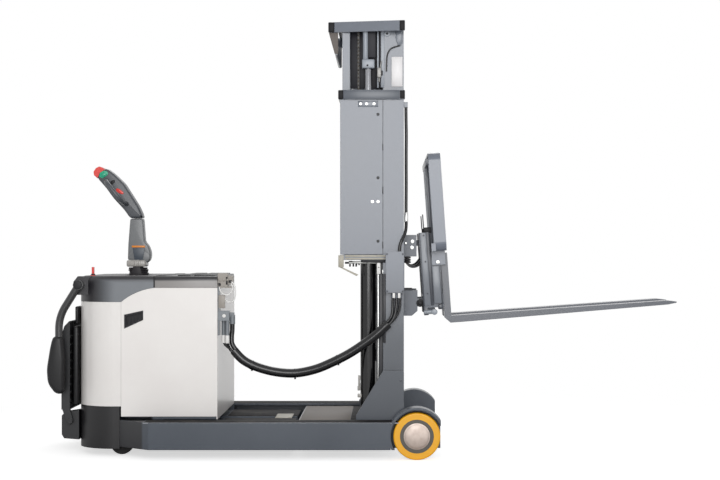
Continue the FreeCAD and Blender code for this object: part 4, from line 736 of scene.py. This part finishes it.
finished("blank_sign_plates", bm, "inner_stage",
         moulded("white_enamelled_plate", "#E4E2E3", "#EAE8E9", 0.35, 4.0, strength=0.1))
bm = bmesh.new()
bar(bm, (-196, 303, 1890), (-175, 318, 1940), edge=3)
turned(bm, (-186, 310, 1880), (0, 0, 1), 5, 24, edge=0.8, sides=12)
turned(bm, (-178, 309, 1955), (0.2, 0, 1), 3.5, 36, edge=0.8, sides=12)
mirror(bm)
finished("mast_sensor_bodies", bm, "inner_stage",
         turned_metal("cast_zinc_sensor_body", "#8E8D8B", "#6F6E6C", 0.45, 6))
for side, s in both_sides:
    lead_route = [(-82, s * 304, 2052), (-106, s * 304, 2047), (-130, s * 304.5, 2036), (-144, s * 305, 2012),
                  (-148, s * 305, 1980), (-149, s * 304, 1950), (-149, s * 302, 1922)]
    lead = hose_line(f"sensor_lead_{side}", lead_route, lead_diameter)
    lead_points, lead_length = line_points(lead)
    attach(lead, "inner_stage")

# Band ends of the mast heads and the rear guard: the bent band is in shade where it turns round the corners, and these
# black ends are painted shade.
# The guard over the chains is primed sheet, beige and dull.
guard_primer = powder_coat("beige_primer_on_guard", "#544D49", "#605954", 0.55, edge="#8E8883", gloss_coat=0.0)
bm = bmesh.new()
cut_plate(bm, [(-438, 2118), (-410, 2012), (-392, 2012), (-392, 2118)], 295.5, 292.5, edge=0.6)
mirror(bm)
finished("guard_side_primer", bm, "inner_stage", guard_primer)
inner_band, outer_band, band_side = (2119.5, 2169.5), (1776, 1821), 378.5
bm = bmesh.new()
bar(bm, (-441.5, 284, inner_band[0]), (-411, 308, inner_band[1]), edge=4)
bar(bm, (-83, 360, inner_band[0]), (-56.5, band_side, inner_band[1]), edge=4)
mirror(bm)
band_end_painted_shade = moulded("band_end_painted_shade_black", "#09090C", "#101014", 0.5, 3.0, shine=0.2)
finished("inner_band_ends", bm, "inner_stage", band_end_painted_shade)
bm = bmesh.new()
bar(bm, (-389.5, 340, outer_band[0]), (-364, band_side, outer_band[1]), edge=4)
bar(bm, (-83, 350, outer_band[0]), (-56.5, band_side, outer_band[1]), edge=4)
mirror(bm)
finished("outer_band_ends", bm, "mast_base", band_end_painted_shade)
band_coat = powder_coat("satin_band_powder_coat", "#484E57", "#505660", 0.38, gloss_coat=0.25)
bm = bmesh.new()
bar(bm, (-364, 376, outer_band[0] + 0.4), (-83, band_side - 0.8, outer_band[1] - 0.4), edge=0.5)
mirror(bm)
finished("outer_band_faces", bm, "mast_base", band_coat)
# Dark strips beside the lift cylinders are painted shade: they lie where the channels' back flanges are in shadow and
# close the gap behind the barrels.
bm = bmesh.new()
bar(bm, (-186, 345, 176), (-166.5, 352, 904))
bar(bm, (-199, 338, 176), (-186, 343, 958))
bar(bm, (-180, 338, 904), (-153, 346, 976))
bar(bm, (-166, 364.6, 560), (-152, 366.5, 905), edge=0.6)
mirror(bm)
finished("painted_shade_strips", bm, "mast_base",
         powder_coat("black_painted_shade_coat", "#1A1B20", "#222329", 0.45, gloss_coat=0.0))
dress(zinc, "chain_pulleys")
dress(black_coat, "tilt_barrel")

# Lift cylinders: gloss black barrels, hard-chromed rods, and painted crossheads that push the inner mast up.
# The rods run inside the barrels when the mast is down.
barrel_black = powder_coat("gloss_black_cylinder_paint", "#060608", "#0B0B0D", 0.16, edge="#3C3D41", gloss_coat=0.0)
dress(barrel_black, "lift_barrels")
chrome = turned_metal("hard_chromed_rod", "#9A9B9F", "#85868B", 0.2, 60)
dress(chrome, "reach_rod", "tilt_rod")
rod_x, rod_y = -240, 302
bm = bmesh.new()
turned(bm, (rod_x, rod_y, 1314), (0, 0, 1), 18, 1248, edge=0.8, sides=40)
mirror(bm)
rods = finished("lift_rod_shafts", bm, "inner_stage", chrome)
bm = bmesh.new()
bar(bm, (-271, 276.5, 1937), (-209, 327.5, 1981), edge=4)
turned(bm, (-254, rod_y, 2069), (0, 0, 1), 13.8, 178, edge=0.5, sides=32)
mirror(bm)
crossheads = finished("lift_crossheads", bm, "inner_stage", mast_light, angle=50)
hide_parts("lift_rods")
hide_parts("lift_rods")
bm = bmesh.new()
turned(bm, (rod_x, rod_y, 1632), (0, 0, 1), 41.5, 22, edge=4, sides=48)
mirror(bm)
finished("cylinder_glands", bm, "mast_base", black_coat)

# Sheet covers beside the lift cylinders: folded steel, screwed on, in the mast's own paint.
# A tab with three plugs sits at the top, and a seam with slots runs down the front edge.
dress(mast_coat, "mast_covers")
bm = bmesh.new()
bar(bm, (-291, 364.5, 1738), (-191, 367, 1768))
mirror(bm)
finished("cover_tabs", bm, "mast_base", mast_coat)
bm = bmesh.new()
for x in (-278, -248, -211):
    turned(bm, (x, 367.5, 1753), (0, 1, 0), 8, 4)
for x in (-219, -191):
    turned(bm, (x, 366, 1265), (0, 1, 0), 8.5, 3, edge=1)
mirror(bm)
turned(bm, (-50, -341, 1187), (0, 0.146, 1), 9.6, 50)
finished("cover_tab_plugs", bm, "mast_base", bolt_white)
bm = bmesh.new()
turned(bm, (-286, 316, 364), (0, 0, 1), 5, 62, edge=1)
turned(bm, (-287, 316, 330), (0, 0, 1), 8.5, 22, edge=2, sides=6)
bar(bm, (-294, 306, 284), (-268, 322, 302), edge=3)
mirror(bm)
finished("cylinder_ports", bm, "mast_base", silver_clamp)
bm = bmesh.new()
for z in (1701, 1384, 1068):
    turned(bm, (-191, 366, z), (0, 1, 0), 7.5, 4, edge=1.2)
for z in (1538, 1323, 1049):
    bar(bm, (-169.5, 364.5, z - 17), (-164.5, 366, z + 17), edge=0.5)
bar(bm, (-168, 364.6, 1002), (-166, 365.4, 1774), edge=0)
mirror(bm)
finished("cover_screws", bm, "mast_base", black_coat)

# Under the covers: the ends of the cross tie, a cable carrier and its bracket, and the rods of the reach lock.
# They are small bent steel and nylon pieces, screwed to the tie. The bracket is on the hoses' side alone.
bm = bmesh.new()
cut_plate(bm, [(-389, 998), (-362, 998), (-362, 938), (-389, 938)], -367, -362)
cut_plate(bm, [(-388, 940), (-374, 940), (-289, 901), (-298, 894)], -362, -356, edge=0.8)
bar(bm, (-355, -362, 989), (-153, -367, 999), edge=1.5)
bar(bm, (-355, -362, 976.5), (-153, -367, 985), edge=1.5)
finished("cable_bracket", bm, "mast_base", cream_plate)
bm = bmesh.new()
bar(bm, (-276, 352, 960), (-153, 366, 976), edge=2)
turned(bm, (-346, 360, 960), (1, 0, 0), 5, 20, sides=16)
for x in (-331, -314, -300):
    turned(bm, (x, 360, 948), (0, 0, 1), 4.5, 14, edge=0.8, sides=10)
turned(bm, (-187, 363, 937), (0, 1, 0), 3, 3, edge=0.5, sides=10)
mirror(bm)
finished("cable_carrier", bm, "mast_base", black_moulding)
bm = bmesh.new()
turned(bm, (-190, 352, 536), (0, 0, 1), 4.5, 736, edge=0.8, sides=12)
bar(bm, (-171, 350, 905), (-153, 364, 926), edge=3)
mirror(bm)
finished("lock_rods", bm, "mast_base", bolt_white)
bm = bmesh.new()
turned(bm, (-268, 360, 960), (1, 0, 0), 4.2, 140, edge=0.8, sides=16)
mirror(bm)
finished("carrier_tubes", bm, "mast_base", zinc)
bm = bmesh.new()
bar(bm, (-197, 347, 903), (-178, 362, 963), edge=3)
mirror(bm)
for x in (-112, -86):
    bar(bm, (x - 6.5, -424.5, 786), (x + 6.5, -421, 811), edge=1.5)
finished("nylon_clips", bm, "mast_base", nylon)
bm = bmesh.new()
for x, z in ((-146, 1004), (-68, 1004), (-146, 820), (-68, 820)):
    turned(bm, (x, -423.5, z), (0, -1, 0), 5, 3, edge=0.8, sides=12)
turned(bm, (-78, -406, 376), (0, -1, 0), 5, 3, edge=0.8, sides=12)
finished("hose_box_screws", bm, "mast_base", mast_dark)

# Lift chains: leaf chain of punched steel plates on pressed pins, oiled and dark, with worn bright edges.
# Each runs from the mast's tie up over its pulley and down to the fork carriage. Short lengths of the same chain
# stand beside the lift cylinders.
chain_steel = turned_metal("oiled_chain_steel", "#4A4540", "#2A2724", 0.42, 8)
pitch = 19.05
rear_x, chain_top = -290, 2056


def link_outline(x, low):
    """A leaf link from one pin to the next, round at its ends and waisted between them."""
    high = low + pitch
    half = [(2.6, low - 5), (6.5, low + 1), (4.8, (low + high) / 2), (6.5, high - 1), (2.6, high + 5)]
    return [(x + out, z) for out, z in half] + [(x - out, z) for out, z in reversed(half)]


for which, x, foot, lower in (("rear", rear_x, 1002, "mast_base"), ("front", -130, 1092, "fork_slide")):
    bm = bmesh.new()
    for y in (-150, 150):
        for k in range(int((chain_top - foot) / pitch)):
            low = foot + k * pitch
            for layer in ((-12, -2, 8) if k % 2 else (-7, 3)):
                cut_plate(bm, link_outline(x, low), y + layer, y + layer + 4, edge=0)
            turned(bm, (x, y, low), (0, 1, 0), 2.6, 26, edge=0, sides=8)
    links = finished(f"{which}_chain_links", bm, None, chain_steel)
    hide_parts(f"{which}_chains")
    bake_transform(links)

side_foot, side_links = 1800, 18
bm = bmesh.new()
for k in range(side_links):
    for layer in ((258, 265, 272) if k % 2 else (261.5, 268.5)):
        cut_plate(bm, link_outline(rear_x, side_foot + k * pitch), layer, layer + 3, edge=0)
bar(bm, (-302, 256, 2137), (-278, 277, 2156), edge=2)
mirror(bm)
finished("cylinder_side_chains", bm, "inner_stage",
         powder_coat("oil_blacked_chain_plate", "#17130F", "#221D18", 0.4, gloss_coat=0.0))
bm = bmesh.new()
for k in range(side_links):
    turned(bm, (rear_x, 268, side_foot + k * pitch), (0, 1, 0), 4.2, 26, edge=0.8, sides=10)
mirror(bm)
finished("side_chain_pins", bm, "inner_stage", chain_steel)

# Fork carriage, tilting frame, backrest and forks: welded and forged steel in the same slate coat.
# The backrest is a welded grille of flat bars, paler where the light catches it. Bolts hold the blocks and channels.
fork_coat = powder_coat("worn_fork_coat", "#4A4E57", "#555962", 0.38)
dress(powder_coat("satin_carriage_powder_coat", "#4A505A", "#525863", 0.38, gloss_coat=0.25),
      "fork_carriage", "tilt_frame")
dress(powder_coat("satin_backrest_powder_coat", "#676D78", "#6F7581", 0.36, edge="#A3A7AD", fold_mm=4.0),
      "load_backrest")
dress(fork_coat, "forks")
bm = bmesh.new()
for x, z, r in ((-17.5, 1067, 11), (-19.5, 1036, 11), (-51, 1058, 6)):
    turned(bm, (x, 209, z), (0, 1, 0), r, 5, sides=6 if r > 8 else 16)
mirror(bm)
finished("upper_block_bolts", bm, "fork_slide", bolt_white)
bm = bmesh.new()
bar(bm, (-60, 150, 819), (-13, 207, 822))
for z in (986, 974, 962):
    bar(bm, (-58, 180, z - 4.5), (-25, 205, z + 4.5), edge=2)
turned(bm, (-44, 192, 974), (0, 0, 1), 8, 34, edge=1, sides=20)
turned(bm, (23, 204, 754), (0, 1, 0), 20, 10, edge=2, sides=32)
turned(bm, (23, 208, 754), (0, 1, 0), 11, 8, sides=6)
mirror(bm)
finished("fork_pivot_fittings", bm, "fork_slide", black_moulding)


def leaned(verts):
    """Leans upright parts back onto the tilting frame's line, four degrees about the fork pivot."""
    pin = at(20, 0, 756)
    lie = Matrix.Translation(pin) @ Matrix.Rotation(math.radians(-4), 4, "Y") @ Matrix.Translation(-pin)
    bmesh.ops.transform(bm, matrix=lie, verts=verts)


bar_foot, bar_top = 738, 1111
bm = bmesh.new()
leaned(bar(bm, (44, 226, bar_foot), (76, 231, bar_top - 1)))
leaned(bar(bm, (94, 239, 748), (131, 243.5, 936)))
mirror(bm)
finished("frame_side_channels", bm, "fork_frame",
         powder_coat("pale_slate_channel_coat", "#696E76", "#747981", 0.4))
bm = bmesh.new()
leaned(bar(bm, (38, 224, bar_foot - 2), (44, 229, bar_top), edge=0.8))
for z in (1096, 962, 800):
    leaned(turned(bm, (63, 232, z), (0, 1, 0), 4.5, 3, edge=1, sides=12))
leaned(bar(bm, (75, 222, bar_foot), (92, 227, bar_top), edge=0.8))
leaned(bar(bm, (131, 239, 742), (138, 242, 940), edge=0.8))
leaned(bar(bm, (38, 190, 690), (62, 222, 737), edge=3))
leaned(bar(bm, (112, 200, 716), (136, 236, 742), edge=5))
leaned(bar(bm, (95.5, 341, 1446.5), (111, 344.3, 1477.5), edge=0.6))
leaned(bar(bm, (95.5, 209, 990), (111, 212, 1466), edge=0.6))
mirror(bm)
finished("frame_dark_strips", bm, "fork_frame", mast_dark)
bm = bmesh.new()
leaned(bar(bm, (64, 200, 1106), (104, 221, 1136), edge=4))
leaned(turned(bm, (66, 211, 1168), (0, 0, 1), 2.8, 70, edge=0.8, sides=12))
mirror(bm)
finished("frame_top_caps", bm, "fork_frame", black_moulding)
bm = bmesh.new()
leaned(turned(bm, (60, 214, 706), (1, 0, 0), 12, 46, edge=2, sides=24))
leaned(turned(bm, (92, 214, 704), (0, 1, 0), 15, 26, edge=2, sides=24))
mirror(bm)
finished("frame_clamps", bm, "fork_frame", mast_light)
link_diameter = 0.010
for side, s in both_sides:
    for number, lift in ((1, 0), (2, 11)):
        link_route = [(-44, s * 192, 957 + lift / 4), (-36, s * 193, 944 + lift / 2), (-18, s * 194, 936 + lift / 2),
                      (6, s * 195, 940 + lift), (20, s * 196, 952 + 1.5 * lift), (30, s * 196, 966 + 1.5 * lift)]
        guide = hose_line("hose_guide", link_route, link_diameter)
        link_points, link_length = line_points(guide)
        link = placed(f"frame_hose_{side}_{number}", mesh_of(guide))
        bpy.data.objects.remove(guide)
        link.data.shade_smooth()
        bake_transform(link)
bm = bmesh.new()
leaned(turned(bm, (126, 241, 956), (0, 1, 0), 10, 5, sides=12))
mirror(bm)
finished("frame_bolts", bm, "fork_frame", bolt_white)

low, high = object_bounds()
